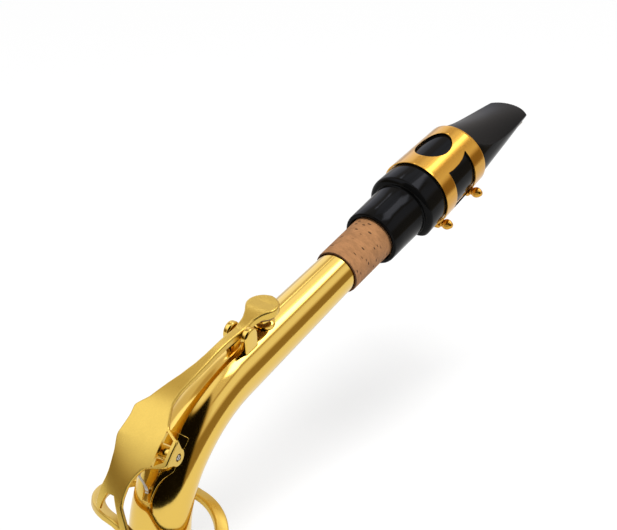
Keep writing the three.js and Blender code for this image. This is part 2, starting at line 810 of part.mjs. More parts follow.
function mouthpiece() {
  const blank = alongX(revolve([
    [mouthpieceBore, 0],
    [shankRadius - shankEndRound, 0],
    [shankRadius - shankEndRound * 0.3, shankEndRound * 0.3],
    [shankRadius, shankEndRound],
    [shankRadius, shankLength],
    [bodyRadius - bodyShoulderRound, shankLength],
    [bodyRadius - bodyShoulderRound * 0.62, shankLength + bodyShoulderRound * 0.08],
    [bodyRadius - bodyShoulderRound * 0.3, shankLength + bodyShoulderRound * 0.3],
    [bodyRadius - bodyShoulderRound * 0.08, shankLength + bodyShoulderRound * 0.62],
    [bodyRadius, shoulderPlace],
    [bodyFrontRadius, beakStart],
    [tipBodyRadius, mouthpieceLength],
    [0, mouthpieceLength],
    [0, throatDepth],
    [throatRadius, throatDepth],
    [throatRadius, boreDepth],
    [mouthpieceBore, boreDepth],
    [mouthpieceBore, 0],
  ], mouthpieceSides));
  const reach = bodyRadius + overrun;
  const facingStart = THREE.MathUtils.lerp(reedHeelPlace, mouthpieceLength, 0.68);
  const facingMiddle = THREE.MathUtils.lerp(facingStart, mouthpieceLength, 0.6);
  const underTable = prismAlongY([
    [shankLength - overrun, tableHeightAt(shankLength - overrun)],
    [facingStart, tableHeightAt(facingStart)],
    [facingMiddle, tableHeightAt(facingMiddle) + tipThickness * 0.35],
    [mouthpieceLength, tipHeight - tipThickness / 2],
    [mouthpieceLength + overrun, tipHeight - tipThickness / 2],
    [mouthpieceLength + overrun, -reach],
    [shankLength - overrun, -reach],
  ], reach);
  const baffleMiddle = THREE.MathUtils.lerp(throatDepth, windowEnd, 0.5);
  const window = prismAlongY([
    [windowStart, tableHeightAt(windowStart) - overrun],
    [windowStart, 0],
    [throatDepth, throatRadius * 0.6],
    [baffleMiddle, beakHeightAt(baffleMiddle) - baffleWall],
    [windowEnd, tipHeight - tipThickness / 2],
    [windowEnd, tableHeightAt(windowEnd) - overrun],
  ], windowHalfWidth);
  return cut(blank, overBeak(), underTable, beyondTip(), window);
}

// The reed lies flat on the table. Its bark is round below, and its cut slopes to a thin, arched tip.
function reed() {
  const rowShares = [0, reedBarkShare, reedBarkShare + 0.04, 0.7, 0.88, 0.97, 1];
  const columns = 8;
  const grid = (under) => rowShares.map((share) => {
    const cutShare = Math.max(0, (share - reedBarkShare) / (1 - reedBarkShare));
    const middle = THREE.MathUtils.lerp(reedHeelThickness, reedTipThickness, Math.pow(cutShare, 0.75));
    const half = THREE.MathUtils.lerp(reedHeelHalfWidth, reedTipHalfWidth, share);
    return Array.from({ length: columns + 1 }, (_, j) => {
      const across = (2 * j) / columns - 1;
      const arch = share === 1 ? tipArcDepth * across * across : 0;
      const along = reedHeelPlace + share * reedLength - arch;
      const roundness = THREE.MathUtils.lerp(0.45, 0.1, cutShare);
      const thickness = middle * (1 - roundness * across * across);
      const height = tableHeightAt(along) - seatGap - (under ? thickness : 0);
      return new THREE.Vector3(along, half * across, height);
    });
  });
  return slab(grid(false), grid(true));
}

// The band goes round the body, and is open under the reed, where the lugs are
const ligatureGap = ligatureGapShare * bodyRadius;

function bandPoint(along, angle, lift) {
  const radius = bodyRadiusAt(along) + bandGap + lift;
  return new THREE.Vector3(along, radius * Math.sin(angle), radius * Math.cos(angle));
}

function ligatureBand() {
  const places = steps(ligatureBack, ligatureFront, ligatureBandWidth / 2);
  const grid = (lift) => places.map((along) => {
    const widest = Math.PI - Math.asin(ligatureGap / (bodyRadiusAt(along) + bandGap));
    const angles = Array.from({ length: bandColumns + 1 }, (_, j) => widest * ((2 * j) / bandColumns - 1));
    return angles.map((angle) => bandPoint(along, angle, lift));
  });
  const sleeve = slab(grid(ligatureThickness), grid(0));
  const oval = new THREE.Shape();
  oval.absellipse(0, 0, windowLength / 2, windowWidth / 2, 0, 2 * Math.PI, false);
  const through = { depth: 2 * bodyRadius, bevelEnabled: false, curveSegments: windowSegments };
  const window = new THREE.ExtrudeGeometry(oval, through).translate(windowPlace, 0, 0);
  const cutBack = ligatureBack + ligatureBandWidth;
  const cutFront = ligatureFront - ligatureBandWidth;
  const bridgeEdgeShares = [
    [0, 1.06], [0.12, 1.02], [0.26, 1], [0.54, 1], [0.74, 1.04], [0.9, 1.12], [1, 1.19],
  ];
  const corner = Math.abs(sideRailHeight) * 0.2;
  const sideCut = prismAlongY([
    ...bridgeEdgeShares.map(([share, heightShare]) => [
      THREE.MathUtils.lerp(cutBack, cutFront, share),
      heightShare * bridgeEdgeHeight,
    ]),
    [cutFront, sideRailHeight + corner],
    [cutFront - corner, sideRailHeight],
    [cutBack + corner, sideRailHeight],
    [cutBack, sideRailHeight + corner],
  ], bodyRadius + overrun);
  return cut(sleeve, window, sideCut).rotateX(ligatureTurn);
}

const lugPlaces = {
  back: ligatureBack + ligatureBandWidth / 2,
  front: ligatureFront - ligatureBandWidth / 2,
};

function screwHeightAt(along) {
  const outerRadius = bodyRadiusAt(along) + bandGap + ligatureThickness;
  return -Math.sqrt(outerRadius * outerRadius - ligatureGap * ligatureGap) - lugTopDepth;
}

// A lug at the band's open end, bored for its screw
function ligatureLug(along, side) {
  const middle = screwHeightAt(along);
  const half = lugHalfLength;
  const block = prismAlongY([
    [along - half, middle + lugTopDepth],
    [along + half, middle + lugTopDepth],
    [along + half, middle - lugFootDepth * 0.4],
    [along + half * 0.6, middle - lugFootDepth * 0.88],
    [along, middle - lugFootDepth],
    [along - half * 0.6, middle - lugFootDepth * 0.88],
    [along - half, middle - lugFootDepth * 0.4],
  ], lugWidth / 2);
  block.translate(0, side * (ligatureGap - seatGap - lugWidth / 2), 0);
  const drill = revolve(rodProfile(ligatureScrewRadius + bandGap, -bodyRadius, bodyRadius), smallSides);
  return cut(block, drill.rotateX(Math.PI / 2).translate(along, 0, middle)).rotateX(ligatureTurn);
}

// A thumb screw through both lugs, with its fluted head on the player's left
function ligatureScrew(along) {
  const headStart = ligatureGap;
  const knobStart = headStart + thumbNeckLength;
  const headEnd = knobStart + thumbHeadLength;
  const round = thumbHeadRadius * 0.3;
  const blank = revolve([
    [0, -ligatureScrewReach],
    [ligatureScrewRadius, -ligatureScrewReach],
    [ligatureScrewRadius, headStart],
    [ligatureScrewRadius * 1.5, headStart],
    [ligatureScrewRadius * 1.5, knobStart],
    [thumbHeadRadius - round, knobStart],
    [thumbHeadRadius, knobStart + round],
    [thumbHeadRadius, headEnd - round * 1.4],
    [thumbHeadRadius - round * 0.5, headEnd - round * 0.4],
    [thumbHeadRadius - round * 1.6, headEnd],
    [0, headEnd],
  ], thumbHeadSides);
  const flutes = Array.from({ length: thumbFlutes }, (_, i) => {
    const angle = (2 * Math.PI * i) / thumbFlutes;
    const profile = rodProfile(thumbFluteRadius, knobStart - overrun / 2, headEnd + overrun);
    const flute = revolve(profile, fluteSides);
    return flute.translate(thumbHeadRadius * Math.cos(angle), thumbHeadRadius * Math.sin(angle), 0);
  });
  const standing = cut(blank, ...flutes).rotateX(Math.PI / 2).translate(along, 0, screwHeightAt(along));
  return standing.rotateX(ligatureTurn);
}

// Assembly

const part = new THREE.Group();

function add(parent, name, geometry, material) {
  const clean = geometryOf(solidOf(geometry));
  clean.computeVertexNormals();
  const mesh = new THREE.Mesh(clean, material);
  mesh.name = name;
  parent.add(mesh);
}

add(part, 'neck_tube', neckTube(), lacquer);
add(part, 'tenon', tenon(), lacquer);
add(part, 'tenon_collar', tenonCollar(), lacquer);
add(part, 'end_ring', endRing(), lacquer);
add(part, 'neck_cork', neckCork(), corkBark);
add(part, 'octave_pip', octavePip(), lacquer);
add(part, 'saddle_plate', saddlePlate(), lacquer);
add(part, 'saddle_post', saddlePost(), lacquer);
add(part, 'guide_post_left', guidePost(-1), lacquer);
add(part, 'guide_post_right', guidePost(1), lacquer);

add(part, 'octave_lever', octaveLever(), satinBrass);
add(part, 'octave_pad', octavePad(), padLeather);
add(part, 'key_ring', keyRing(), satinBrass);
add(part, 'pivot_screw_left', pivotScrew(-1), springSteel);
add(part, 'pivot_screw_right', pivotScrew(1), springSteel);
add(part, 'key_spring', keySpring(), springSteel);
add(part, 'spring_screw', springScrew(), springSteel);

const mouth = new THREE.Group();
const mouthStart = neckAt(corkLevel + corkShowing);
mouth.position.set(mouthStart.place.x, 0, mouthStart.place.y);
mouth.rotation.y = -mouthStart.heading;
part.add(mouth);
add(mouth, 'mouthpiece', mouthpiece(), rubber);
add(mouth, 'reed', reed(), cane);
add(mouth, 'ligature_band', ligatureBand(), ligatureGold);
for (const [place, along] of Object.entries(lugPlaces)) {
  add(mouth, `ligature_lug_${place}_left`, ligatureLug(along, -1), ligatureGold);
  add(mouth, `ligature_lug_${place}_right`, ligatureLug(along, 1), ligatureGold);
  add(mouth, `ligature_screw_${place}`, ligatureScrew(along), ligatureGold);
}

export default part;
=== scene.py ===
"""The looks of an alto saxophone neck with its octave key, mouthpiece, reed and ligature.

It is laid out as an add-on: sizes and finishes in property groups, one operator for each piece or
group of like pieces and one for the stage. Lengths in the code are millimetres unless said otherwise.
"""

import math

import bpy
from mathutils import Matrix, Vector


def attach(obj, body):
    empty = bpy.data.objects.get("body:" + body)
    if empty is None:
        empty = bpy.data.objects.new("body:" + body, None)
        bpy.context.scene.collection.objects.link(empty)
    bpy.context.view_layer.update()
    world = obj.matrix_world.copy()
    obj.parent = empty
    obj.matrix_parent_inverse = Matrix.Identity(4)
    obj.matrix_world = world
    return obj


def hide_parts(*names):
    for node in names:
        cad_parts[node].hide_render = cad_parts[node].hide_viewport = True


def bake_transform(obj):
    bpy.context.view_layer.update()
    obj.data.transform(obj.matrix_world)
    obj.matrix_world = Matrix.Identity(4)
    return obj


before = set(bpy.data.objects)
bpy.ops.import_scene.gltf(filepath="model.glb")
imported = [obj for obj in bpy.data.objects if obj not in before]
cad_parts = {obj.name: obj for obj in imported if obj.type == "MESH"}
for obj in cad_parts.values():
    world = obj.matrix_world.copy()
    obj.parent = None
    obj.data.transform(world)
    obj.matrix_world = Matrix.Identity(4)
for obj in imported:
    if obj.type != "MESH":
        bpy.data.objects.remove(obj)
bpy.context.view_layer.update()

bl_info = {
    "name": "Saxophone Neck",
    "version": (1, 0, 0),
    "blender": (4, 5, 0),
    "location": "View3D > Sidebar > Neck",
    "description": "Builds the pieces of an alto saxophone neck with its mouthpiece",
    "category": "Add Mesh",
}

MM = 0.001
POLE = 0.001

# Neck line
RISER = 34.0
LOW_BEND = (34.0, math.radians(40.5))
HIGH_BEND = (55.0, math.radians(35.5))
BARE_RUN = 65.0
CORKED_RUN = 36.4
BENDS_END = RISER + LOW_BEND[0] * LOW_BEND[1] + HIGH_BEND[0] * HIGH_BEND[1]
CORK_LEVEL = BENDS_END + BARE_RUN
TUBE_END = CORK_LEVEL + CORKED_RUN
TENON_LENGTH = 22.5
TENON_RADIUS = 12.1
TENON_BORE = 11.2
COLLAR_HEIGHT = 4.5
COLLAR_RADIUS = 13.6
COLLAR_TOP = TENON_LENGTH + COLLAR_HEIGHT
TUBE_START = COLLAR_TOP - 8.0
FIT_GAP = 0.3
CORK_GAP = 0.25
CORK_RADII = (8.4, 8.2)

# Octave key
PIP_LEVEL = CORK_LEVEL - 44.0
OCTAVE_HOLE = 0.8
RING_LEVEL = RISER + 2.0
WRAP_FADE = RISER + 22.0
PLATE_TOP = RISER + 29.2
ARM_START = RISER + 53.0
FORK_LEVEL = RISER + 9.5
TAIL_END = RISER + 5.5
FORK_OVERLAP = 1.5
TAIL_FOOT = RING_LEVEL + 0.5
KEY_RISE_LOW = 23.5
KEY_RISE_HIGH = 15.5
PLATE_HALF = 12.5
ARM_DIP = 2.2
CUP_RADIUS = 5.8
CUP_SHARE = 0.8
CUP_UNDER = 1.3
CUP_WALL = 0.7
PIVOT_LEVEL = RISER + 21.5
PIVOT_RISE = 16.8
BARREL_HALF = 8.1
EAR_THICKNESS = 1.4
EAR_ROUND = 3.2
EAR_FOOT = 4.9
PIN_RADIUS = 1.05
PIN_HOLE = 1.4
PIN_LENGTH = 4.6
SADDLE_LOW = 42.0
SADDLE_HIGH = 62.0
SADDLE_RISE = (0.3, 1.1)
SPRING_LEVELS = (52.5, 44.6)
SPRING_STRAIGHT = 3.4
SPRING_HALF = 0.7
SPRING_UNDER_KEY = 1.3
SPRING_OVER_TUBE = 1.8
GUIDE_LEVEL = PIP_LEVEL - 13.5
GUIDE_RADIUS = 3.6
GUIDE_CENTRE = 13.0
GUIDE_THICKNESS = 2.6
GUIDE_SIDES = (("left", -3.3), ("right", 3.8))
RING_WIDTH = 4.7
RING_HALF = 1.3
RING_HEIGHT = 38.6
RING_TILT = math.radians(5.7)

# The opening in the plate: its two sides, and its low and high ends at each side
OPENING_SIDES = (-4.3, -0.1 - BARREL_HALF)
OPENING_LOW = (51.5, 53.3)
OPENING_HIGH = (59.8, 58.0)

# Mouthpiece, along its own axis
SHANK_END = 18.6
SHOULDER_END = 20.8
BEAK_START = 57.0
BEAK_RADIUS = 11.3
MOUTH_BORE = 8.7
THROAT = 6.6
THROAT_ENDS = (28, 56)
WINDOW_ENDS = (51.0, 89.5)
SHOULDER_ROUND = 2.2
TIP = 95.0
TIP_HEIGHT = -3.3
TIP_THICKNESS = 1.1
REED_HEEL = 21.6
REED_LENGTH = 72.2
REED_BARK = 0.49
BAND_BACK = 29.6
BAND_FRONT = 56.3
BAND_WIDTH = 6.8
BAND_GAP = 0.3
LIGATURE_TURN = math.radians(-4.5)
LUG_WIDTH = 3.2
LUG_HALF = 2.3
SIDE_TOP = 7.3
SIDE_RAIL = -8.4
SIDE_CORNER = 1.7
KNOB_LENGTH = 3.9


def mix(start, end, share):
    """The value a share of the way from start to end."""
    return start + (end - start) * share


def shares(count, first=0):
    """Even steps from 0 to 1, without the first ones if asked."""
    return [index / count for index in range(first, count + 1)]


def clamp(value, low=0.0, high=1.0):
    """The value, held between low and high."""
    return max(low, min(high, value))


def eased(share):
    """A share that starts and ends gently."""
    share = clamp(share)
    return share * share * (3.0 - 2.0 * share)


def size(name):
    """One of the user's lengths, in millimetres."""
    return getattr(bpy.context.scene.neck_sizes, name) / MM


# The neck line and what stands on it


def neck_at(level):
    """Place (x, z), heading and outward direction (x, z) of the neck line at a length along it."""
    x, z = 0.0, min(level, RISER)
    heading = math.pi / 2
    left = level - RISER
    for radius, turn in (LOW_BEND, HIGH_BEND):
        if left <= 0:
            break
        angle = min(left / radius, turn)
        before = (math.sin(heading), -math.cos(heading))
        heading -= angle
        after = (math.sin(heading), -math.cos(heading))
        x += (before[0] - after[0]) * radius
        z += (before[1] - after[1]) * radius
        left -= radius * turn
    if left > 0:
        x += math.cos(heading) * left
        z += math.sin(heading) * left
    return (x, z), heading, (-math.sin(heading), math.cos(heading))


def neck_point(level, rise, side):
    """A point raised from the neck line and moved sideways."""
    (x, z), _, out = neck_at(level)
    return Vector((x + out[0] * rise, side, z + out[1] * rise))


def tube_radius(level):
    """Outer radius of the neck tube at a level."""
    sizes = bpy.context.scene.neck_sizes
    share = (level - TUBE_START) / (TUBE_END - TUBE_START)
    return mix(sizes.tube_foot_radius, sizes.tube_end_radius, share) / MM


def standing(level, side=0.0):
    """The frame of a piece made round the Z axis that stands on the neck line."""
    (x, z), heading, out = neck_at(level)
    rows = (
        (math.cos(heading), 0.0, out[0], x * MM),
        (0.0, 1.0, 0.0, side * MM),
        (math.sin(heading), 0.0, out[1], z * MM),
        (0.0, 0.0, 0.0, 1.0),
    )
    return Matrix(rows)


def threaded(level):
    """The frame of a piece made round the Z axis that goes round the neck line."""
    (x, z), heading, _ = neck_at(level)
    return shift(x, 0, z) @ Matrix.Rotation(math.pi / 2 - heading, 4, "Y")


def mouth_frame():
    """The mouthpiece's own frame: +X from the shank to the tip, +Z up."""
    (x, z), heading, _ = neck_at(CORK_LEVEL + 21.8)
    return shift(x, 0, z) @ Matrix.Rotation(-heading, 4, "Y")


ALONG_X = Matrix.Rotation(math.pi / 2, 4, "Y")
ALONG_Y = Matrix.Rotation(-math.pi / 2, 4, "X")
AGAINST_Y = Matrix.Rotation(math.pi / 2, 4, "X")


def shift(x, y, z):
    """A move by millimetres."""
    return Matrix.Translation((x * MM, y * MM, z * MM))


def pivot_frame(side=0.0):
    """The frame of the key's pivot, moved sideways."""
    return standing(PIVOT_LEVEL, side) @ shift(0, 0, PIVOT_RISE)


def pivot_end(sign):
    """The frame of one end of the pivot, with Z pointing out of it."""
    return pivot_frame() @ Matrix.Rotation(-sign * math.pi / 2, 4, "X")


def arc(centre, radii, start, end, steps):
    """Points of a circle or ellipse from one angle to another, in degrees."""
    angles = [math.radians(mix(start, end, share)) for share in shares(steps)]
    (x, z), (wide, high) = centre, radii
    return [(x + wide * math.cos(angle), z + high * math.sin(angle)) for angle in angles]


# Making meshes


def fresh():
    """Leaves edit mode and deselects everything."""
    if bpy.context.object and bpy.context.object.mode != "OBJECT":
        bpy.ops.object.mode_set(mode="OBJECT")
    bpy.ops.object.select_all(action="DESELECT")


def pick(piece):
    """Makes one object the only one selected, and active."""
    fresh()
    piece.hide_set(False)
    piece.select_set(True)
    bpy.context.view_layer.objects.active = piece
    return piece


def edit(piece):
    """Opens a piece in edit mode with all of it selected."""
    pick(piece)
    bpy.ops.object.mode_set(mode="EDIT")
    bpy.ops.mesh.select_all(action="SELECT")


def settle(piece, matrix=None):
    """Puts a piece in its place and works the place into its mesh."""
    pick(piece)
    if matrix is not None:
        piece.matrix_world = matrix @ piece.matrix_world
    bpy.ops.object.transform_apply(location=True, rotation=True, scale=True)
    return piece


def tidy_mesh(piece, gap=0.004):
    """Merges doubled corners and turns the faces outwards."""
    edit(piece)
    bpy.ops.mesh.remove_doubles(threshold=gap * MM)
    bpy.ops.mesh.normals_make_consistent(inside=False)
    bpy.ops.object.mode_set(mode="OBJECT")
    return piece


def named(name):
    """The object that was just added, with its name."""
    bpy.context.object.name = name
    return bpy.context.object


def open_edges():
    """Selects only the open edges of the mesh in edit mode."""
    bpy.ops.mesh.select_all(action="DESELECT")
    bpy.ops.mesh.select_mode(type="EDGE")
    bpy.ops.mesh.select_non_manifold()


def turned(name, profile, sides=96, matrix=None, ring=False):
    """A turned piece: a circle drawn out along (radius, height) points, closed into a ring if asked."""
    fresh()
    radius, height = profile[0]
    start = (0, 0, height * MM)
    bpy.ops.mesh.primitive_circle_add(vertices=sides, radius=max(radius, POLE) * MM, location=start)
    piece = named(name)
    bpy.ops.object.transform_apply(location=True)
    edit(piece)
    for (radius, height), (next_radius, next_height) in zip(profile, profile[1:]):
        rise = (next_height - height) * MM
        bpy.ops.mesh.extrude_region_move(TRANSFORM_OT_translate={"value": (0, 0, rise)})
        scale = max(next_radius, POLE) / max(radius, POLE)
        bpy.ops.transform.resize(value=(scale, scale, 1))
    if ring:
        open_edges()
        bpy.ops.mesh.bridge_edge_loops()
        bpy.ops.mesh.select_mode(type="VERT")
    bpy.ops.object.mode_set(mode="OBJECT")
    tidy_mesh(piece)
    return settle(piece, matrix) if matrix is not None else piece


def drill(radius, low, high, matrix=None, sides=32):
    """A plain rod for cutting a round hole."""
    return turned("drill", [(0, low), (radius, low), (radius, high), (0, high)], sides, matrix)


def drawn_along(name, levels, radius_at, sides=96):
    """A tube drawn out ring by ring along the neck line."""
    fresh()
    (x, z), heading, _ = neck_at(levels[0])
    place = Vector((x, 0, z)) * MM
    tilt = (0, math.pi / 2 - heading, 0)
    radius = radius_at(levels[0]) * MM
    bpy.ops.mesh.primitive_circle_add(vertices=sides, radius=radius, location=place, rotation=tilt)
    piece = named(name)
    bpy.ops.object.transform_apply(location=True, rotation=True)
    edit(piece)
    for before, level in zip(levels, levels[1:]):
        (x, z), next_heading, _ = neck_at(level)
        next_place = Vector((x, 0, z)) * MM
        bpy.ops.mesh.extrude_region_move(TRANSFORM_OT_translate={"value": next_place - place})
        if next_heading != heading:
            turn = next_heading - heading
            bpy.ops.transform.rotate(
                value=turn, orient_axis="Y", orient_type="GLOBAL", center_override=next_place
            )
        scale = radius_at(level) / radius_at(before)
        bpy.ops.transform.resize(value=(scale, scale, scale), center_override=next_place)
        place, heading = next_place, next_heading
    bpy.ops.object.mode_set(mode="OBJECT")
    return piece


def sheet(name, rows, columns, surface, over, under):
    """A grid thickened by one extrusion, each point laid at surface(along, across, over or under)."""
    fresh()
    bpy.ops.mesh.primitive_grid_add(x_subdivisions=rows, y_subdivisions=columns, size=1)
    piece = named(name)
    edit(piece)
    bpy.ops.mesh.extrude_region_move(TRANSFORM_OT_translate={"value": (0, 0, -1)})
    bpy.ops.object.mode_set(mode="OBJECT")
    for vertex in piece.data.vertices:
        along, across, depth = vertex.co
        vertex.co = surface(along + 0.5, across + 0.5, over if depth > -0.5 else under) * MM
    return tidy_mesh(piece)


def outlined(name, outline, depth, matrix=None):
    """A flat outline of (x, z) points drawn out by a depth along Y, centred on the XZ plane."""
    fresh()
    bpy.ops.mesh.primitive_circle_add(vertices=len(outline), radius=MM, fill_type="NGON")
    piece = named(name)
    for vertex, (x, z) in zip(piece.data.vertices, outline):
        vertex.co = Vector((x, -depth / 2, z)) * MM
    edit(piece)
    bpy.ops.mesh.extrude_region_move(TRANSFORM_OT_translate={"value": (0, depth * MM, 0)})
    bpy.ops.object.mode_set(mode="OBJECT")
    tidy_mesh(piece)
    return settle(piece, matrix) if matrix is not None else piece


def modified(piece, kind, **settings):
    """Adds a modifier with these settings and applies it."""
    pick(piece)
    modifier = piece.modifiers.new(kind.title(), kind)
    for key, value in settings.items():
        setattr(modifier, key, value)
    bpy.ops.object.modifier_apply(modifier=modifier.name)
    return piece


def carved(piece, *cutters, operation="DIFFERENCE"):
    """Cuts pieces away from one, or joins them to it, and removes them."""
    for cutter in cutters:
        modified(piece, "BOOLEAN", operation=operation, solver="EXACT", object=cutter)
        pick(cutter)
        bpy.ops.object.delete()
    return piece


def softened(piece, width, segments=3, angle=35):
    """Rounds the edges that are sharper than an angle in degrees."""
    limit = {"limit_method": "ANGLE", "angle_limit": math.radians(angle)}
    return modified(piece, "BEVEL", width=width * MM, segments=segments, **limit)


def together(name, pieces):
    """Joins several meshes into one object."""
    pick(pieces[0])
    for piece in pieces[1:]:
        piece.select_set(True)
    bpy.ops.object.join()
    return named(name)


def hand_over(piece, body, nodes, slot, *materials, angle=32, flat=False):
    """Gives a finished piece its shading, materials and body, and hides the CAD parts that it stands
    for.

    Without a material it gets the finish named by slot; flat keeps its large faces flat.
    """
    pick(piece)
    bpy.ops.object.shade_smooth_by_angle(angle=math.radians(angle))
    if flat:
        modified(piece, "WEIGHTED_NORMAL", keep_sharp=True)
    materials = materials or (finish_named(slot),)
    kept = [polygon.material_index for polygon in piece.data.polygons]
    piece.data.materials.clear()
    for material in materials:
        piece.data.materials.append(material)
    for polygon, index in zip(piece.data.polygons, kept):
        polygon.material_index = min(index, len(materials) - 1)
    if body is not None:
        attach(piece, body)
    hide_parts(*nodes)
    return piece


# Shader maths


class Signal:
    """A socket's value, so that shader maths is written as an expression."""

    def __init__(self, finish, socket):
        self.finish = finish
        self.socket = socket

    def maths(self, operation, *values):
        """The result of a maths node on these values."""
        return self.finish.signal("ShaderNodeMath", dict(enumerate(values)), operation=operation)

    def __add__(self, other):
        return self.maths("ADD", self, other)

    __radd__ = __add__

    def __sub__(self, other):
        return self.maths("SUBTRACT", self, other)

    def __rsub__(self, other):
        return self.maths("SUBTRACT", other, self)

    def __mul__(self, other):
        return self.maths("MULTIPLY", self, other)

    __rmul__ = __mul__

    def step(self, low, high):
        """0 below low, 1 above high, and smooth between them."""
        inputs = {"Value": self, "From Min": low, "From Max": high}
        return self.finish.signal("ShaderNodeMapRange", inputs, interpolation_type="SMOOTHSTEP")


class Finish:
    """A material or world under construction."""

    def __init__(self, owner):
        self.owner = owner
        owner.use_nodes = True
        self.tree = owner.node_tree
        self.tree.nodes.clear()

    def node(self, kind, inputs=None, **settings):
        """A node of a type: its settings are made first, then its sockets' values or links."""
        node = self.tree.nodes.new(kind)
        for key, value in settings.items():
            setattr(node, key, value)
        for key, value in (inputs or {}).items():
            if isinstance(value, Signal):
                value = value.socket
            if isinstance(value, bpy.types.NodeSocket):
                self.tree.links.new(value, node.inputs[key])
            else:
                node.inputs[key].default_value = value
        return node

    def signal(self, kind, inputs=None, output=0, **settings):
        """The value of one output of a new node."""
        return Signal(self, self.node(kind, inputs, **settings).outputs[output])

    def place(self, scale=(1, 1, 1), turn=(0, 0, 0)):
        """The point on the object, turned and scaled."""
        point = self.node("ShaderNodeTexCoord").outputs["Object"]
        turned_point = self.signal("ShaderNodeMapping", {"Vector": point, "Rotation": turn})
        return self.signal("ShaderNodeVectorMath", {0: turned_point, 1: scale}, operation="MULTIPLY")

    def noise(self, place, scale, detail=3.0, roughness=0.5):
        """Noise between 0 and 1 at a place."""
        inputs = {"Vector": place, "Scale": scale, "Detail": detail, "Roughness": roughness}
        return self.signal("ShaderNodeTexNoise", inputs)

    def blend(self, share, first, second):
        """A colour between two."""
        inputs = {0: share, 6: first, 7: second}
        return self.signal("ShaderNodeMix", inputs, output=2, data_type="RGBA")

    def bump(self, height, distance, strength=1.0):
        """A normal from a height, whose full height is a distance in millimetres."""
        inputs = {"Height": height, "Distance": distance * MM, "Strength": strength}
        return self.signal("ShaderNodeBump", inputs)

    def mixed(self, share, first, second):
        """A shader between two."""
        return self.node("ShaderNodeMixShader", {0: share, 1: first.outputs[0], 2: second.outputs[0]})

    def surface(self, **sockets):
        """Ends the material in one principled shader with these sockets."""
        inputs = {key.replace("_", " "): value for key, value in sockets.items()}
        shader = self.node("ShaderNodeBsdfPrincipled", inputs)
        self.node("ShaderNodeOutputMaterial", {"Surface": shader.outputs[0]})
        return self.owner


def opaque(colour):
    """A colour with full alpha."""
    return (colour[0], colour[1], colour[2], 1.0)


def shade(colour, factor):
    """A colour made lighter or darker."""
    return tuple(clamp(channel * factor) for channel in colour[:3]) + (1.0,)


def begun(name):
    """A new material under construction, and the colours that a user can change."""
    return Finish(bpy.data.materials.new(name)), bpy.context.scene.neck_finishes


def lacquer():
    """Polished brass under clear lacquer."""
    finish, colours = begun("lacquer")
    place = finish.place()
    haze = finish.noise(place, 90.0, 4.0)
    wave = finish.noise(place, 60.0, 1.0)
    return finish.surface(
        Base_Color=opaque(colours.lacquer),
        Metallic=1.0,
        Roughness=0.07 + haze * 0.07,
        Normal=finish.bump(wave, 0.12, 0.35),
        Coat_Weight=0.2,
        Coat_Roughness=0.03,
    )


def satin_brass():
    """Brass with a fine drawn grain under clear lacquer."""
    finish, colours = begun("satin_brass")
    place = finish.place((1.0, 0.12, 1.0), (0, math.radians(-30), math.radians(12)))
    grain = finish.noise(place, 6500.0, 2.0)
    broad = finish.noise(finish.place(), 140.0, 3.0)
    return finish.surface(
        Base_Color=finish.blend(grain * 0.7, opaque(colours.satin), shade(colours.satin, 0.72)),
        Metallic=1.0,
        Roughness=0.2 + broad * 0.1 + grain * 0.1,
        Normal=finish.bump(grain, 0.003, 0.4),
        Coat_Weight=0.05,
        Coat_Roughness=0.08,
    )


def ligature_gold():
    """Deep gold with a grain that runs round the band."""
    finish, colours = begun("ligature_gold")
    grain = finish.noise(finish.place((0.06, 1.0, 1.0), (0, math.radians(14), 0)), 2600.0, 2.0)
    return finish.surface(
        Base_Color=finish.blend(grain * 0.5, opaque(colours.ligature), shade(colours.ligature, 0.84)),
        Metallic=1.0,
        Roughness=0.14 + grain * 0.08,
        Normal=finish.bump(grain, 0.006, 0.4),
        Coat_Weight=0.1,
        Coat_Roughness=0.05,
    )


def hard_rubber(name="hard_rubber", rough=0.07, lift=1.0, gloss=0.07):
    """Polished black rubber, or the duller rubber of the beak."""
    finish, colours = begun(name)
    smear = finish.noise(finish.place(), 180.0, 4.0, 0.6)
    return finish.surface(
        Base_Color=shade(colours.rubber, lift),
        Roughness=rough + smear * 0.05,
        Specular_IOR_Level=gloss,
    )


def cork(name="cork", light=1.0):
    """Cork with dark pits that run round it, or a darker copy whose darkening is painted shade for the
    sleeve's end face.
    """
    finish, colours = begun(name)
    place = finish.place((1.0, 0.45, 0.45), (0, math.radians(14), 0))
    cells = finish.node("ShaderNodeTexVoronoi", {"Vector": place, "Scale": 640.0, "Randomness": 1.0})
    some = finish.signal("ShaderNodeSeparateColor", {0: cells.outputs["Color"]})
    ragged = finish.noise(place, 2600.0, 3.0) * 0.22
    near = 1 - (Signal(finish, cells.outputs["Distance"]) + ragged).step(0.28, 0.38)
    pits = near * some.step(0.3, 0.36)
    grain = finish.noise(place, 520.0, 5.0, 0.65)
    specks = finish.noise(finish.place(), 2600.0, 2.0).step(0.56, 0.7)
    # A light below 1 darkens the whole cork: painted shade, used for the sleeve's end face.
    pale, deep = (shade(colours.cork, factor * light) for factor in (1.05, 0.72))
    body = finish.blend(grain.step(0.3, 0.72), pale, deep)
    dark = finish.blend(pits * 0.92, body, shade(colours.cork, 0.12))
    return finish.surface(
        Base_Color=finish.blend(specks * 0.35, dark, shade(colours.cork, 0.5)),
        Roughness=0.82,
        Normal=finish.bump(1 - pits * 0.8 - grain * 0.3, 0.12, 0.6),
    )


def cane():
    """Reed cane with fine fibres along it."""
    finish, colours = begun("cane")
    fibres = finish.noise(finish.place((0.05, 1.0, 1.0), (0, math.radians(16.4), 0)), 3400.0, 3.0)
    return finish.surface(
        Base_Color=finish.blend(
            fibres.step(0.35, 0.75), opaque(colours.cane), shade(colours.cane, 0.7)
        ),
        Roughness=0.48,
        Normal=finish.bump(fibres, 0.02, 0.4),
    )


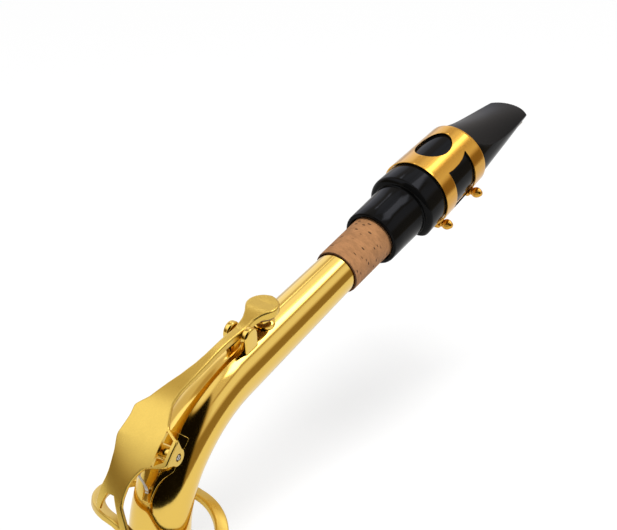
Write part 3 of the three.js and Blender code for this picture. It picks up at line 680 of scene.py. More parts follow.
def steel():
    """Polished spring steel."""
    finish, colours = begun("steel")
    haze = finish.noise(finish.place(), 700.0, 3.0)
    return finish.surface(Base_Color=opaque(colours.steel), Metallic=1.0, Roughness=0.16 + haze * 0.12)


def pad_leather():
    """Tan pad skin."""
    finish, colours = begun("pad_leather")
    pores = finish.noise(finish.place(), 2400.0, 3.0)
    return finish.surface(
        Base_Color=finish.blend(pores * 0.5, opaque(colours.leather), shade(colours.leather, 0.7)),
        Roughness=0.7,
        Normal=finish.bump(pores, 0.03, 0.4),
    )


MAKERS = (lacquer, satin_brass, ligature_gold, hard_rubber, cork, cane, steel, pad_leather)


def finish_named(name):
    """The material of a name, made on first use."""
    found = bpy.data.materials.get("finish_" + name)
    if found is None:
        found = next(maker for maker in MAKERS if maker.__name__ == name)()
        found.name = "finish_" + name
    return found


# Property groups


def length(name, default, description):
    """A length that a user can change, in metres."""
    return bpy.props.FloatProperty(name=name, description=description, default=default, unit="LENGTH")


def tone(name, default, description):
    """A colour that a user can change."""
    return bpy.props.FloatVectorProperty(
        name=name, description=description, subtype="COLOR", default=default
    )


class NeckSizes(bpy.types.PropertyGroup):
    """Sizes that a user would change, in metres."""

    tube_foot_radius: length("Tube Foot Radius", 0.0108, "Outer radius of the tube at the collar")
    tube_end_radius: length("Tube End Radius", 0.00675, "Outer radius of the tube at the mouthpiece")
    tube_wall: length("Tube Wall", 0.0007, "Thickness of the tube's brass")
    plate_thickness: length("Plate Thickness", 0.0016, "Thickness of the octave key's plate")
    arm_thickness: length("Arm Thickness", 0.0026, "Thickness of the octave key's arm")
    ring_radius: length("Ring Radius", 0.0236, "Outer radius of the key's ring")
    shank_radius: length("Shank Radius", 0.0103, "Radius of the mouthpiece's shank")
    body_radius: length("Body Radius", 0.0128, "Largest radius of the mouthpiece")
    band_thickness: length("Band Thickness", 0.0005, "Thickness of the ligature's sheet")
    knurls: bpy.props.IntProperty(
        name="Knurls", description="Grooves round a thumb screw's head", default=22, min=8, max=40
    )


class NeckFinishes(bpy.types.PropertyGroup):
    """Colours of the finishes."""

    lacquer: tone("Lacquer", (0.82, 0.55, 0.11), "Lacquered tube")
    satin: tone("Satin Brass", (0.82, 0.56, 0.11), "Octave key and ring")
    ligature: tone("Ligature", (0.71, 0.37, 0.05), "Ligature and its screws")
    rubber: tone("Rubber", (0.004, 0.004, 0.004), "Mouthpiece")
    cork: tone("Cork", (0.5, 0.24, 0.1), "Cork on the tube's end")
    cane: tone("Cane", (0.66, 0.45, 0.2), "Reed")
    steel: tone("Steel", (0.5, 0.46, 0.4), "Spring and pivot screws")
    leather: tone("Pad Leather", (0.33, 0.17, 0.08), "Octave pad")


# The octave key's sheet

# Rows of a level and the sheet's two edges there, as shares of PLATE_HALF
LEVER_EDGES = (
    (FORK_LEVEL, 0.14, 1.02), (46.061, 0.11, 0.91), (48.031, 0.03, 0.87), (50.001, -0.11, 0.88),
    (50.986, -0.2, 0.89), (52.168, -0.78, 0.9), (55.32, -0.78, 1.0), (58.078, -0.78, 0.93),
    (60.442, -0.34, 0.9), (PLATE_TOP, -0.21, 0.93), (66.294, -0.08, 0.67), (69.626, -0.06, 0.53),
    (75.1, -0.11, 0.32), (80.098, -0.135, 0.2), (83.906, -0.14, 0.15), (ARM_START, -0.14, 0.135),
    (98.0, -0.145, 0.14), (PIP_LEVEL - 1.5 * CUP_RADIUS, -0.19, 0.185),
    (PIP_LEVEL - CUP_RADIUS, -0.27, 0.27), (PIP_LEVEL - 0.5 * CUP_RADIUS, -0.407, 0.407),
)
# The bend of the key's ring: degrees round it from +X, and how far it rises there, down being negative
RING_DROP = (
    (0, -1.2), (20, -0.4), (40, 0), (170, 0), (185, -2.5), (200, -6), (215, -9), (235, -10.5),
    (270, -10.5), (285, -9.8), (300, -8.4), (310, -6.8), (320, -5.2), (330, -3.8), (340, -2.6),
    (350, -1.8), (360, -1.2),
)
# The sheet's two ends at the ring: shares of the way up from TAIL_END to the fork, and both edges
TAIL_EDGES = (
    (-0.55, -0.3, -0.03), (0, -0.07, 0.17), (0.4, 0.12, 0.34), (0.7, 0.14, 0.46), (1, 0.13, 0.56),
)
PRONG_EDGES = ((0, 0.87, 1.04), (0.3, 0.82, 1.07), (0.65, 0.72, 1.02), (1, 0.62, 0.94))


def edge_at(table, place, column):
    """A value read between the rows of a table of places and edges."""
    if place <= table[0][0]:
        return table[0][column]
    for low, high in zip(table, table[1:]):
        if place <= high[0]:
            return mix(low[column], high[column], (place - low[0]) / (high[0] - low[0]))
    return table[-1][column]


def smoothed_edge(table, place, column, reach):
    """The same value, averaged over a reach on both sides so that the outline has no corners."""
    weights = (1, 3, 5, 6, 5, 3, 1)
    offsets = [reach * (index - 3) / 3 for index in range(7)]
    values = [edge_at(table, place + offset, column) for offset in offsets]
    return sum(weight * value for weight, value in zip(weights, values)) / sum(weights)


def key_rise(level):
    """How far the key's sheet stands off the neck line."""
    share = (level - RING_LEVEL) / (PIP_LEVEL - RING_LEVEL)
    dip = eased((level - PLATE_TOP) / 20.0) * (1 - eased((level - 98.0) / 13.0))
    return mix(KEY_RISE_LOW, KEY_RISE_HIGH, share) - ARM_DIP * dip


def key_point(level, side, lift):
    """A point on the key's sheet, which follows the ring's curve low down."""
    radius = size("ring_radius")
    fade = clamp((WRAP_FADE - level) / (WRAP_FADE - RING_LEVEL))
    drop = radius - math.sqrt(radius * radius - side * side)
    return neck_point(level, key_rise(level) - fade * drop + lift, side)


def rounded_across(across, width, radius):
    """Distance from the near edge and drop below the face, for a face whose two edges are rounded."""
    radius = min(radius, width / 2.01)
    mirrored = min(across, 1 - across)
    if mirrored < 0.2:
        angle = mirrored / 0.2 * math.pi / 2
        inset, drop = radius * (1 - math.cos(angle)), radius * (1 - math.sin(angle))
    else:
        inset, drop = mix(radius, width / 2, (mirrored - 0.2) / 0.3), 0.0
    return (inset if across <= 0.5 else width - inset), drop


def key_sheet(name, rows, start, end, table, reach):
    """Part of the key's sheet between two levels, with the outline of a table and rounded edges."""
    sizes = bpy.context.scene.neck_sizes
    disc = PIP_LEVEL - 0.5 * CUP_RADIUS
    with_cup = end > disc

    def outline_at(along):
        """Level and both edges there; the last rows of a sheet with the cup follow the cup's disc."""
        if with_cup and along > CUP_SHARE:
            angle = mix(-math.pi / 6, 1.5, (along - CUP_SHARE) / (1 - CUP_SHARE))
            half = CUP_RADIUS * math.cos(angle)
            return PIP_LEVEL + CUP_RADIUS * math.sin(angle), -half, half
        level = mix(start, disc, along / CUP_SHARE) if with_cup else mix(start, end, along)
        near, far = (smoothed_edge(table, level, column, reach) * PLATE_HALF for column in (1, 2))
        return level, near, far

    def surface(along, across, face):
        level, near, far = outline_at(along)
        arm = eased((level - PLATE_TOP) / (ARM_START - PLATE_TOP))
        thickness = mix(sizes.plate_thickness, sizes.arm_thickness, arm) / MM
        radius = mix(0.5, 0.75, arm) if face > 0 else 0.4
        inset, drop = rounded_across(across, far - near, min(radius, 0.49 * thickness))
        return key_point(level, near + inset, face * (thickness / 2 - drop))

    return sheet(name, rows, 30, surface, 1, -1)


# Operators


class PieceOperator:
    """What every piece's operator shares."""

    bl_options = {"REGISTER", "UNDO"}


class NECK_OT_tube(PieceOperator, bpy.types.Operator):
    """Draws the bent, tapering tube and its octave hole"""

    bl_idname = "neck.tube"
    bl_label = "Neck Tube"

    def execute(self, context):
        sizes = context.scene.neck_sizes
        levels = [TUBE_START, TENON_LENGTH + 2.0]
        levels += [mix(RISER, BENDS_END, share) for share in shares(56)]
        levels += [mix(BENDS_END, TUBE_END, share) for share in shares(12, 1)]
        tube = tidy_mesh(drawn_along("neck_tube_skin", levels, tube_radius))
        modified(tube, "SOLIDIFY", thickness=sizes.tube_wall, offset=-1.0)
        tidy_mesh(tube)
        carved(tube, drill(OCTAVE_HOLE, 0, 14, standing(PIP_LEVEL), 24))
        softened(tube, 0.12, 2, 60)
        hand_over(tube, "neck", ["neck_tube"], "lacquer")
        return {"FINISHED"}


class NECK_OT_tenon(PieceOperator, bpy.types.Operator):
    """Turns the tenon, its collar and the ring at the tube's small end"""

    bl_idname = "neck.tenon"
    bl_label = "Tenon and Rings"

    def execute(self, context):
        roof = COLLAR_TOP - 1.9
        profile = [(TENON_BORE, 0), (11.7, 0), (TENON_RADIUS, 0.4), (TENON_RADIUS, 12)]
        profile += [(TENON_RADIUS, roof), (TENON_BORE, roof)]
        tenon = softened(turned("tenon_sleeve", profile, ring=True), 0.1, 2)
        hand_over(tenon, "neck", ["tenon"], "lacquer")
        bore = tube_radius(TENON_LENGTH) + FIT_GAP
        top, seat = COLLAR_TOP, TENON_RADIUS + FIT_GAP
        profile = [(seat, TENON_LENGTH), (13.3, TENON_LENGTH), (COLLAR_RADIUS, TENON_LENGTH + 0.3)]
        profile += [(COLLAR_RADIUS, top - 1.1), (13.49, top - 0.62), (13.22, top - 0.26)]
        profile += [(12.92, top - 0.06), (12.5, top), (bore, top), (bore, top - 1.6), (seat, top - 1.6)]
        collar = softened(turned("tenon_collar_ring", profile, ring=True), 0.12, 2)
        hand_over(collar, "neck", ["tenon_collar"], "lacquer")
        width, thick = 1.6, 0.75
        bore = tube_radius(TUBE_END - width) + CORK_GAP
        profile = [(bore, 0), (bore + thick, 0), (bore + thick, width), (bore, width)]
        end_ring = turned("end_ring_band", profile, matrix=threaded(TUBE_END - width), ring=True)
        softened(end_ring, 0.2, 3)
        hand_over(end_ring, "neck", ["end_ring"], "lacquer")
        return {"FINISHED"}


class NECK_OT_cork(PieceOperator, bpy.types.Operator):
    """Turns the cork sleeve"""

    bl_idname = "neck.cork"
    bl_label = "Neck Cork"

    def execute(self, context):
        length = CORKED_RUN - 1.9
        profile = [(tube_radius(CORK_LEVEL) + CORK_GAP, 0), (8.05, 0), (8.3, 0.25)]
        profile.append((CORK_RADII[0], 0.8))
        for share in shares(8, 1):
            profile.append((mix(*CORK_RADII, share), mix(0.8, length - 0.4, share)))
        profile += [(8.05, length), (tube_radius(CORK_LEVEL + length) + CORK_GAP, length)]
        sleeve = turned("cork_sleeve", profile, matrix=threaded(CORK_LEVEL), ring=True)
        # Faces within 0.3 mm of the sleeve's back end take a darker copy of the cork: painted shade on
        # its end face.
        back = threaded(CORK_LEVEL).inverted()
        for polygon in sleeve.data.polygons:
            polygon.material_index = 1 if (back @ polygon.center).z < 0.3 * MM else 0
        shaded_cork_end = bpy.data.materials.get("cork_end_painted_shade") or cork("cork_end_painted_shade", 0.3)
        hand_over(sleeve, "neck", ["neck_cork"], "cork", finish_named("cork"), shaded_cork_end)
        return {"FINISHED"}


class NECK_OT_pip(PieceOperator, bpy.types.Operator):
    """Turns the octave pip and its pad"""

    bl_idname = "neck.pip"
    bl_label = "Octave Pip and Pad"

    def execute(self, context):
        surface = tube_radius(PIP_LEVEL)
        flare = ((3.9, 0.7), (3.6, 0.95), (3.1, 1.1), (2.6, 1.4), (2.35, 2.0), (2.3, 3.2), (2.1, 3.4))
        profile = [(OCTAVE_HOLE, surface - 3), (3.9, surface - 3)]
        profile += [(radius, surface + rise) for radius, rise in flare + ((OCTAVE_HOLE, 3.4),)]
        pip = turned("octave_pip_nozzle", profile, 64, standing(PIP_LEVEL), ring=True)
        carved(pip, tube_gauge(FIT_GAP))
        hand_over(pip, "neck", ["octave_pip"], "lacquer")
        low = surface + 3.7
        high = KEY_RISE_HIGH - 1.6
        profile = [(0, low), (4.3, low), (4.7, low + 0.3), (4.8, low + 0.8), (4.8, high - 0.2)]
        pad = turned("octave_pad_disc", profile + [(4.6, high), (0, high)], 72, standing(PIP_LEVEL))
        hand_over(pad, "octave_key", ["octave_pad"], "pad_leather")
        return {"FINISHED"}


def tube_gauge(gap):
    """A solid rod the size of the tube with a gap, for cutting what sits on the tube."""
    levels = [RISER + 2.0 * index for index in range(50)]
    rod = drawn_along("gauge", levels, lambda level: tube_radius(level) + gap, 96)
    edit(rod)
    open_edges()
    bpy.ops.mesh.edge_face_add()
    bpy.ops.mesh.select_mode(type="VERT")
    bpy.ops.object.mode_set(mode="OBJECT")
    return tidy_mesh(rod)


class NECK_OT_saddle(PieceOperator, bpy.types.Operator):
    """Shapes the saddle plate and the post with the pivot barrel"""

    bl_idname = "neck.saddle"
    bl_label = "Saddle"

    def execute(self, context):
        outline = (
            (SADDLE_LOW, 0.24), (44.0, 0.27), (47.0, 0.38), (49.2, 0.56), (52.0, 0.97), (61.0, 1.0),
            (SADDLE_HIGH, 0.96),
        )
        widest = math.radians(34)

        def surface(along, across, lift):
            level = mix(SADDLE_LOW, SADDLE_HIGH, along)
            angle = smoothed_edge(outline, level, 1, 0.7) * widest * (2 * across - 1)
            radius = tube_radius(level) + lift
            return neck_point(level, radius * math.cos(angle), radius * math.sin(angle))

        plate = sheet("saddle_sheet", 40, 28, surface, SADDLE_RISE[1], SADDLE_RISE[0])
        softened(plate, 0.22, 3)
        hand_over(plate, "neck", ["saddle_plate"], "lacquer")
        half = BARREL_HALF
        profile = [(0, -half), (2.5, -half), (2.9, 0.4 - half)]
        profile += [(2.9, half - 0.4), (2.5, half), (0, half)]
        barrel = turned("barrel", profile, 64, pivot_frame() @ ALONG_Y)
        web = outlined("web", [(-5.2, 0), (5.2, 0), (2.32, PIVOT_RISE), (-2.32, PIVOT_RISE)], 6.0)
        softened(web, 0.6, 3)
        settle(web, standing(PIVOT_LEVEL))
        post = carved(barrel, web, operation="UNION")
        post.name = "saddle_barrel"
        carved(post, tube_gauge(1.4))
        inner = half - PIN_LENGTH + EAR_THICKNESS
        for sign in (-1, 1):
            carved(post, drill(PIN_HOLE, inner, 12, pivot_end(sign)))
        hand_over(post, "neck", ["saddle_post"], "lacquer")
        return {"FINISHED"}


class NECK_OT_guides(PieceOperator, bpy.types.Operator):
    """Shapes the two guide posts beside the arm"""

    bl_idname = "neck.guides"
    bl_label = "Guide Posts"

    def execute(self, context):
        dome = arc((0, GUIDE_CENTRE), (GUIDE_RADIUS, GUIDE_RADIUS), 0, 180, 28)
        outline = [(-GUIDE_RADIUS, 2), (GUIDE_RADIUS, 2)] + dome
        for name, side in GUIDE_SIDES:
            post = outlined("guide_" + name, outline, GUIDE_THICKNESS)
            softened(post, 0.8, 5)
            settle(post, standing(GUIDE_LEVEL, side))
            carved(post, tube_gauge(FIT_GAP))
            hand_over(post, "neck", ["guide_post_" + name], "lacquer")
        return {"FINISHED"}


class NECK_OT_lever(PieceOperator, bpy.types.Operator):
    """Shapes the octave key's plate, arm, cup and ears in one"""

    bl_idname = "neck.lever"
    bl_label = "Octave Lever"

    def execute(self, context):
        plate = key_sheet("plate", 250, FORK_LEVEL, PIP_LEVEL + CUP_RADIUS, LEVER_EDGES, 0.8)

        def opening(along, across, lift):
            level = mix(mix(*OPENING_LOW, across), mix(*OPENING_HIGH, across), along)
            return key_point(level, mix(*OPENING_SIDES, across), lift)

        parts = [carved(plate, sheet("slot", 6, 6, opening, 3.0, -3.0))]
        top = FORK_LEVEL + FORK_OVERLAP
        for name, end, table in (("tail", TAIL_FOOT, TAIL_EDGES), ("prong", TAIL_END, PRONG_EDGES)):
            scaled = [(mix(TAIL_END, top, share), near, far) for share, near, far in table]
            parts.append(key_sheet(name, 40, end, top, scaled, 0.5))
        base, rim = KEY_RISE_HIGH - CUP_UNDER, CUP_RADIUS
        inner = rim - CUP_WALL
        profile = [(0, base), (inner, base), (inner, base - 0.3), (rim - 0.2, base - 0.3)]
        profile += [(rim, base - 0.1), (rim, base + 1.6), (rim - 0.1, base + 1.85)]
        profile += [(rim - 0.4, base + 2.15), (rim - 0.9, base + 2.4), (0, base + 2.5)]
        parts.append(turned("cup", profile, 96, standing(PIP_LEVEL)))
        rise = key_rise(PIVOT_LEVEL)
        hook = arc((0, PIVOT_RISE), (EAR_ROUND, EAR_ROUND), 171, 369, 24)
        for sign in (-1, 1):
            ear = outlined("ear", [(-EAR_FOOT, rise)] + hook + [(EAR_FOOT, rise)], EAR_THICKNESS)
            side = sign * (BARREL_HALF + FIT_GAP + EAR_THICKNESS / 2)
            settle(ear, standing(PIVOT_LEVEL, side))
            carved(ear, drill(PIN_HOLE, -3, 3, pivot_frame(side) @ ALONG_Y))
            parts.append(softened(ear, 0.25, 3))
        lever = together("octave_lever_casting", parts)
        hand_over(lever, "octave_key", ["octave_lever"], "satin_brass", flat=True)
        return {"FINISHED"}


class NECK_OT_key_ring(PieceOperator, bpy.types.Operator):
    """Turns the key's ring round the neck"""

    bl_idname = "neck.key_ring"
    bl_label = "Key Ring"

    def execute(self, context):
        outer = size("ring_radius")
        inner, half = outer - RING_WIDTH, RING_HALF
        profile = [(inner, -half), (mix(inner, outer, 0.5), -half), (outer, -half)]
        profile += [(outer, half), (inner, half)]
        ring = turned("key_ring_band", profile, 180, ring=True)
        for vertex in ring.data.vertices:
            turn = math.degrees(math.atan2(vertex.co.y, vertex.co.x)) % 360
            vertex.co.z += smoothed_edge(RING_DROP, turn, 1, 8.0) * MM
        settle(ring, shift(0, 0, RING_HEIGHT) @ Matrix.Rotation(RING_TILT, 4, "Y"))
        softened(ring, 0.7, 5)
        hand_over(ring, "octave_key", ["key_ring"], "satin_brass", angle=50)
        return {"FINISHED"}


class NECK_OT_pivots(PieceOperator, bpy.types.Operator):
    """Makes the pivot screws, the flat spring and its screw"""

    bl_idname = "neck.pivots"
    bl_label = "Pivots and Spring"

    def execute(self, context):
        outer = BARREL_HALF + FIT_GAP + EAR_THICKNESS
        inner = outer - PIN_LENGTH
        for name, sign in (("left", -1), ("right", 1)):
            profile = [(0, inner), (0.42, inner), (PIN_RADIUS, inner + 1.05)]
            profile += [(PIN_RADIUS, outer - 0.15), (0.9, outer), (0, outer)]
            screw = turned("pivot_pin_" + name, profile, 48)
            fresh()
            top = (0, 0, outer * MM)
            bpy.ops.mesh.primitive_cube_add(size=MM, scale=(4.2, 0.4, 1.0), location=top)
            carved(screw, settle(bpy.context.object))
            settle(screw, pivot_end(sign))
            hand_over(screw, "octave_key", ["pivot_screw_" + name], "steel")
        fixed, free = SPRING_LEVELS
        bend = fixed - SPRING_STRAIGHT

        def rise_at(level):
            high = key_rise(level) - SPRING_UNDER_KEY
            low = tube_radius(level) + SPRING_OVER_TUBE
            share = clamp((bend - level) / (bend - free))
            return mix(high, low, math.sin(share * math.pi / 2))

        def surface(along, across, lift):
            level = mix(fixed, free, along)
            return neck_point(level, rise_at(level) + lift, mix(-SPRING_HALF, SPRING_HALF, across))

        spring = sheet("flat_spring", 36, 6, surface, 0.2, -0.2)
        softened(spring, 0.08, 2)
        hand_over(spring, None, ["key_spring"], "steel")
        bend_from, bend_to = (neck_point(level, rise_at(level), 0) * MM for level in (bend, free))
        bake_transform(spring)
        level = fixed - SPRING_STRAIGHT / 2
        high = rise_at(level) - 0.5
        profile = [(0, high - 0.9), (0.8, high - 0.88), (1.1, high - 0.75), (1.3, high - 0.45)]
        screw = turned("spring_screw_head", profile + [(1.3, high), (0, high)], 40, standing(level))
        hand_over(screw, "octave_key", ["spring_screw"], "steel")
        return {"FINISHED"}


def body_radius_at(along):
    """Radius of the mouthpiece's body."""
    return mix(size("body_radius"), BEAK_RADIUS, (along - SHOULDER_END) / (BEAK_START - SHOULDER_END))


def table_height(along):
    """Height of the reed's table."""
    heel = 4.8 - size("body_radius")
    return mix(heel, -4.9, (along - REED_HEEL) / (TIP - REED_HEEL))


def beak_height(along):
    """Height of the beak along its middle."""
    share = (along - BEAK_START) / (TIP - BEAK_START)
    straight = mix(BEAK_RADIUS, TIP_HEIGHT + TIP_THICKNESS / 2, share)
    return straight - 0.8 * math.sin(math.pi * clamp(share))


def drawn_up(name, floor, low, high, reach, rows=56, columns=48):
    """A block whose lower face follows a surface, for cutting what is above it."""

    def surface(along, across, far):
        point = floor(mix(low, high, along), mix(-reach, reach, across))
        return Vector((point.x, point.y, far)) if far else point

    return sheet(name, rows, columns, surface, 40.0, None)


class NECK_OT_mouthpiece(PieceOperator, bpy.types.Operator):
    """Turns the mouthpiece and cuts its beak, table, window and tip"""

    bl_idname = "neck.mouthpiece"
    bl_label = "Mouthpiece"

    def execute(self, context):
        shank, body = size("shank_radius"), size("body_radius")
        bore, rounding = MOUTH_BORE, SHOULDER_ROUND
        rear, front = THROAT_ENDS
        profile = [(bore, 0.3), (bore + 0.3, 0), (shank - 0.8, 0), (shank - 0.4, 0.1)]
        profile += [(shank - 0.12, 0.35), (shank, 0.8), (shank, 6), (shank, 12)]
        profile += [(shank, SHANK_END - 0.6), (shank + 0.08, SHANK_END - 0.25), (shank + 0.3, SHANK_END)]
        profile += arc((body - rounding, SHOULDER_END), (rounding, rounding), -90, 0, 10)
        for share in shares(6, 1):
            profile.append((mix(body, BEAK_RADIUS, share), mix(SHOULDER_END, BEAK_START, share)))
        profile += [(9.5, 76), (7.6, TIP), (0, TIP), (0, front), (THROAT, front)]
        profile += [(THROAT, rear), (bore, rear)]
        piece = turned("mouthpiece_body", profile, 144, ALONG_X, ring=True)

        def crowned(along, side):
            share = clamp((along - BEAK_START) / (TIP - BEAK_START))
            crown = mix(6.4, 0.6, share * share)
            return Vector((along, side, beak_height(along) - crown * (side / BEAK_RADIUS) ** 2))

        def table(along, side):
            facing = mix(REED_HEEL, TIP, 0.68)
            height = table_height(along)
            if along > facing:
                share = (along - facing) / (TIP - facing)
                height = mix(height, TIP_HEIGHT - TIP_THICKNESS / 2, share ** 1.6)
            return Vector((along, side, height))

        def arched(height, across, beyond):
            side = mix(-16, 16, across)
            return Vector((TIP - 3.0 * (side / 7.3) ** 2 + beyond, side, mix(-16, 16, height)))

        carved(piece, drawn_up("over_beak", crowned, 50.0, 100.0, 16.0))
        carved(piece, sheet("beyond_tip", 4, 64, arched, 40, 0))

        def below(along, across, far):
            point = table(mix(14.0, 100.0, along), mix(-16, 16, across))
            return Vector((point.x, point.y, far)) if far else point

        carved(piece, sheet("under_table", 60, 4, below, None, -30.0))
        rear, end = WINDOW_ENDS
        middle = mix(front, end, 0.5)
        outline = [(rear, -12.0), (rear, 0.0), (front, 4.0), (middle, beak_height(middle) - 2.2)]
        window = outlined("window", outline + [(end, TIP_HEIGHT - 0.5), (end, -12.0)], 10.0)
        carved(piece, softened(window, 0.5, 3))
        settle(piece, mouth_frame())
        softened(piece, 0.1, 2, 50)
        back = mouth_frame().inverted()
        for polygon in piece.data.polygons:
            centre = back @ polygon.center / MM
            normal = back.to_3x3() @ polygon.normal
            on_beak = centre.x > BEAK_START - 4 and normal.z > 0.2
            crown = crowned(centre.x, centre.y).z
            polygon.material_index = 1 if on_beak and abs(centre.z - crown) < 0.12 else 0
        satin = bpy.data.materials.get("beak_rubber") or hard_rubber("beak_rubber", 0.32, 1.0, 0.09)
        rubbers = finish_named("hard_rubber"), satin
        hand_over(piece, "mouthpiece", ["mouthpiece"], "hard_rubber", *rubbers, angle=28)
        return {"FINISHED"}


class NECK_OT_reed(PieceOperator, bpy.types.Operator):
    """Shapes the reed, with its bark, cut and thin tip"""

    bl_idname = "neck.reed"
    bl_label = "Reed"

    def execute(self, context):
        def surface(along, across, under):
            centred = 2 * across - 1
            cut = max(0.0, (along - REED_BARK) / (1 - REED_BARK))
            middle = mix(2.9, 0.45, cut ** 0.75)
            half = mix(6.1, 6.3, along)
            arch = 3.0 * centred * centred * eased((along - 0.9) / 0.1)
            place = REED_HEEL + along * REED_LENGTH - arch
            roundness = mix(0.45, 0.62, min(1.0, 3 * cut))
            depth = middle * (1 - roundness * centred * centred) if under else 0.0
            return Vector((place, half * centred, table_height(place) - FIT_GAP - depth))

        blade = sheet("reed_blade", 96, 24, surface, False, True)
        settle(blade, mouth_frame())
        softened(blade, 0.15, 2, 50)
        hand_over(blade, "reed", ["reed"], "cane")
        return {"FINISHED"}


def ligature_frame():
    """The mouthpiece's frame, turned a little as the ligature sits on it."""
    return mouth_frame() @ Matrix.Rotation(LIGATURE_TURN, 4, "X")


def lug_gap():
    """Half of the gap between the band's two ends."""
    return 0.547 * size("body_radius")


def band_end(along):
    """Height of the band's outer edge where it ends beside the lugs."""
    outer = body_radius_at(along) + BAND_GAP + 0.5
    return -math.sqrt(outer * outer - lug_gap() ** 2)


class NECK_OT_ligature(PieceOperator, bpy.types.Operator):
    """Rolls the ligature's band and cuts its window and sides"""

    bl_idname = "neck.ligature"
    bl_label = "Ligature Band"

    def execute(self, context):
        thickness = size("band_thickness")
        places = [mix(BAND_BACK, BAND_FRONT, share) for share in shares(30)]
        profile = [(body_radius_at(place) + BAND_GAP + thickness, place) for place in places]
        profile += [(body_radius_at(place) + BAND_GAP, place) for place in reversed(places)]
        band = turned("ligature_sleeve", profile, 192, ALONG_X, ring=True)
        window = outlined("window", arc((43.4, 0), (7.85, 6.1), 0, 355, 71), 40.0)
        settle(window, shift(0, 0, 20) @ AGAINST_Y)
        cut_back = BAND_BACK + BAND_WIDTH
        cut_front = BAND_FRONT - BAND_WIDTH
        hanging = (
            (0, 1.06), (0.12, 1.02), (0.26, 1), (0.54, 1), (0.74, 1.04), (0.9, 1.12), (1, 1.19),
        )
        side = []
        for share in shares(24):
            height = SIDE_TOP * smoothed_edge(hanging, share, 1, 0.06)
            side.append((mix(cut_back, cut_front, share), height))
        rail, corner = SIDE_RAIL, SIDE_CORNER
        side += [(cut_front, rail + corner), (cut_front - 0.5, rail + 0.5), (cut_front - corner, rail)]
        side += [(cut_back + corner, rail), (cut_back + 0.5, rail + 0.5), (cut_back, rail + corner)]
        under = outlined("gap", [(20, -20), (70, -20), (70, -4), (20, -4)], 2 * lug_gap())
        carved(band, window, outlined("sides", side, 40.0), under)
        softened(band, 0.16, 3, 50)
        settle(band, ligature_frame())
        hand_over(band, "ligature", ["ligature_band"], "ligature_gold")
        return {"FINISHED"}


class NECK_OT_thumb_screws(PieceOperator, bpy.types.Operator):
    """Makes the ligature's lugs and its two knurled thumb screws"""

    bl_idname = "neck.thumb_screws"
    bl_label = "Lugs and Thumb Screws"

    def execute(self, context):
        gap = lug_gap()
        turn = ligature_frame()
        knurls = context.scene.neck_sizes.knurls
        places = {"back": BAND_BACK + BAND_WIDTH / 2, "front": BAND_FRONT - BAND_WIDTH / 2}
        for name, along in places.items():
            middle = band_end(along) - 1.5
            outline = [(along + LUG_HALF, middle + 1.5), (along - LUG_HALF, middle + 1.5)]
            outline += arc((along, middle - 0.5), (-LUG_HALF, -1.2), 0, 180, 14)
            for side_name, sign in (("left", -1), ("right", 1)):
                lug = outlined("lug_{}_{}".format(name, side_name), outline, LUG_WIDTH)
                softened(lug, 0.3, 3)
                settle(lug, shift(0, sign * (gap - BAND_GAP - LUG_WIDTH / 2), 0))
                carved(lug, settle(drill(1.15, -20, 20, ALONG_Y), shift(along, 0, middle)))
                settle(lug, turn)
                node = "ligature_lug_{}_{}".format(name, side_name)
                hand_over(lug, "ligature", [node], "ligature_gold")
            knob = gap + 0.6
            end = knob + KNOB_LENGTH
            profile = [(0, -7.4), (0.7, -7.4), (0.85, -7.25), (0.85, gap)]
            profile += [(1.28, gap), (1.28, knob), (1.35, knob)]
            for share in shares(10):
                profile.append((1.9 - 0.6 * (1 - 2 * share) ** 2, mix(knob + 0.1, end - 0.75, share)))
            profile += [(1.13, end - 0.45), (0.85, end - 0.15), (0.5, end), (0, end + 0.05)]
            screw = turned("thumb_screw_" + name, profile, knurls * 4)
            for vertex in screw.data.vertices:
                reach = math.hypot(vertex.co.x, vertex.co.y) / MM
                height = vertex.co.z / MM
                if reach > 1.2 and knob + 0.3 < height < end - 0.7:
                    angle = math.atan2(vertex.co.y, vertex.co.x) * knurls
                    wave = 0.5 + 0.5 * math.cos(angle + (height - knob) * 2.2)
                    depth = 1 - 0.075 * (1 - wave)
                    vertex.co.x *= depth
                    vertex.co.y *= depth
            for move in (AGAINST_Y, shift(along, 0, middle), turn):
                settle(screw, move)
            node = "ligature_screw_" + name
            hand_over(screw, name + "_screw", [node], "ligature_gold", angle=50)
        return {"FINISHED"}


# Studio

CAMERA_PLACE = (-1.17175, -0.75445, 0.81650)
CAMERA_TURN = (
    (0.54748813, 0.32976326, -0.76909879),
    (-0.83298943, 0.30252709, -0.46325584),
    (0.07990847, 0.89427823, 0.4403193),
)
FOCAL_PIXELS = 4771.6
PHOTO_WIDTH = 617.0
SENSOR = 36.0
WHITE = (1, 1, 1, 1)
FLOOR_GLOW = 1.26
LAMP_TOWARDS = Vector((-0.12, -0.3, 1.0)).normalized()
LAMP_DISTANCE = 1.7
LAMP_ENERGY = 22.0
PLAIN_LIGHT = 0.34
ROOM_LEVEL = 0.75

# What the polished metal sees, painted in order: brightness, two azimuths in degrees after a turn of
# 80 degrees and how soft they are, two elevations and how soft they are
ROOM = (
    (0.97, -400, 400, 5, -120, -9, 4),
    (0.3, -24, 48, 6, -7, 20, 4),
    (0.97, -4, 38, 4, 26, 46, 3),
    (0.4, -8, 46, 4, 47.5, 51.5, 2),
    (5.0, 30, 74, 6, 54, 69, 3),
    (1.5, 74, 90, 4, 53, 69, 3),
    (1.2, 90, 120, 4, 52, 70, 3),
    (0.5, 140, 178, 6, 50, 67, 5),
    (3.6, 122.5, 128.5, 1.5, 46.3, 51, 1.5),
    (0.72, 118, 142, 4, 36.5, 44.5, 2),
    (1.15, 112, 150, 6, 4, 34.5, 4),
    (0.004, -118, -12, 4, -7, 72, 3),
    (0.2, -400, -124, 6, -6, 20, 6),
    (1.42, -400, -122, 6, 32, 120, 12),
    (1.1, -400, 400, 5, 77, 120, 4),
)


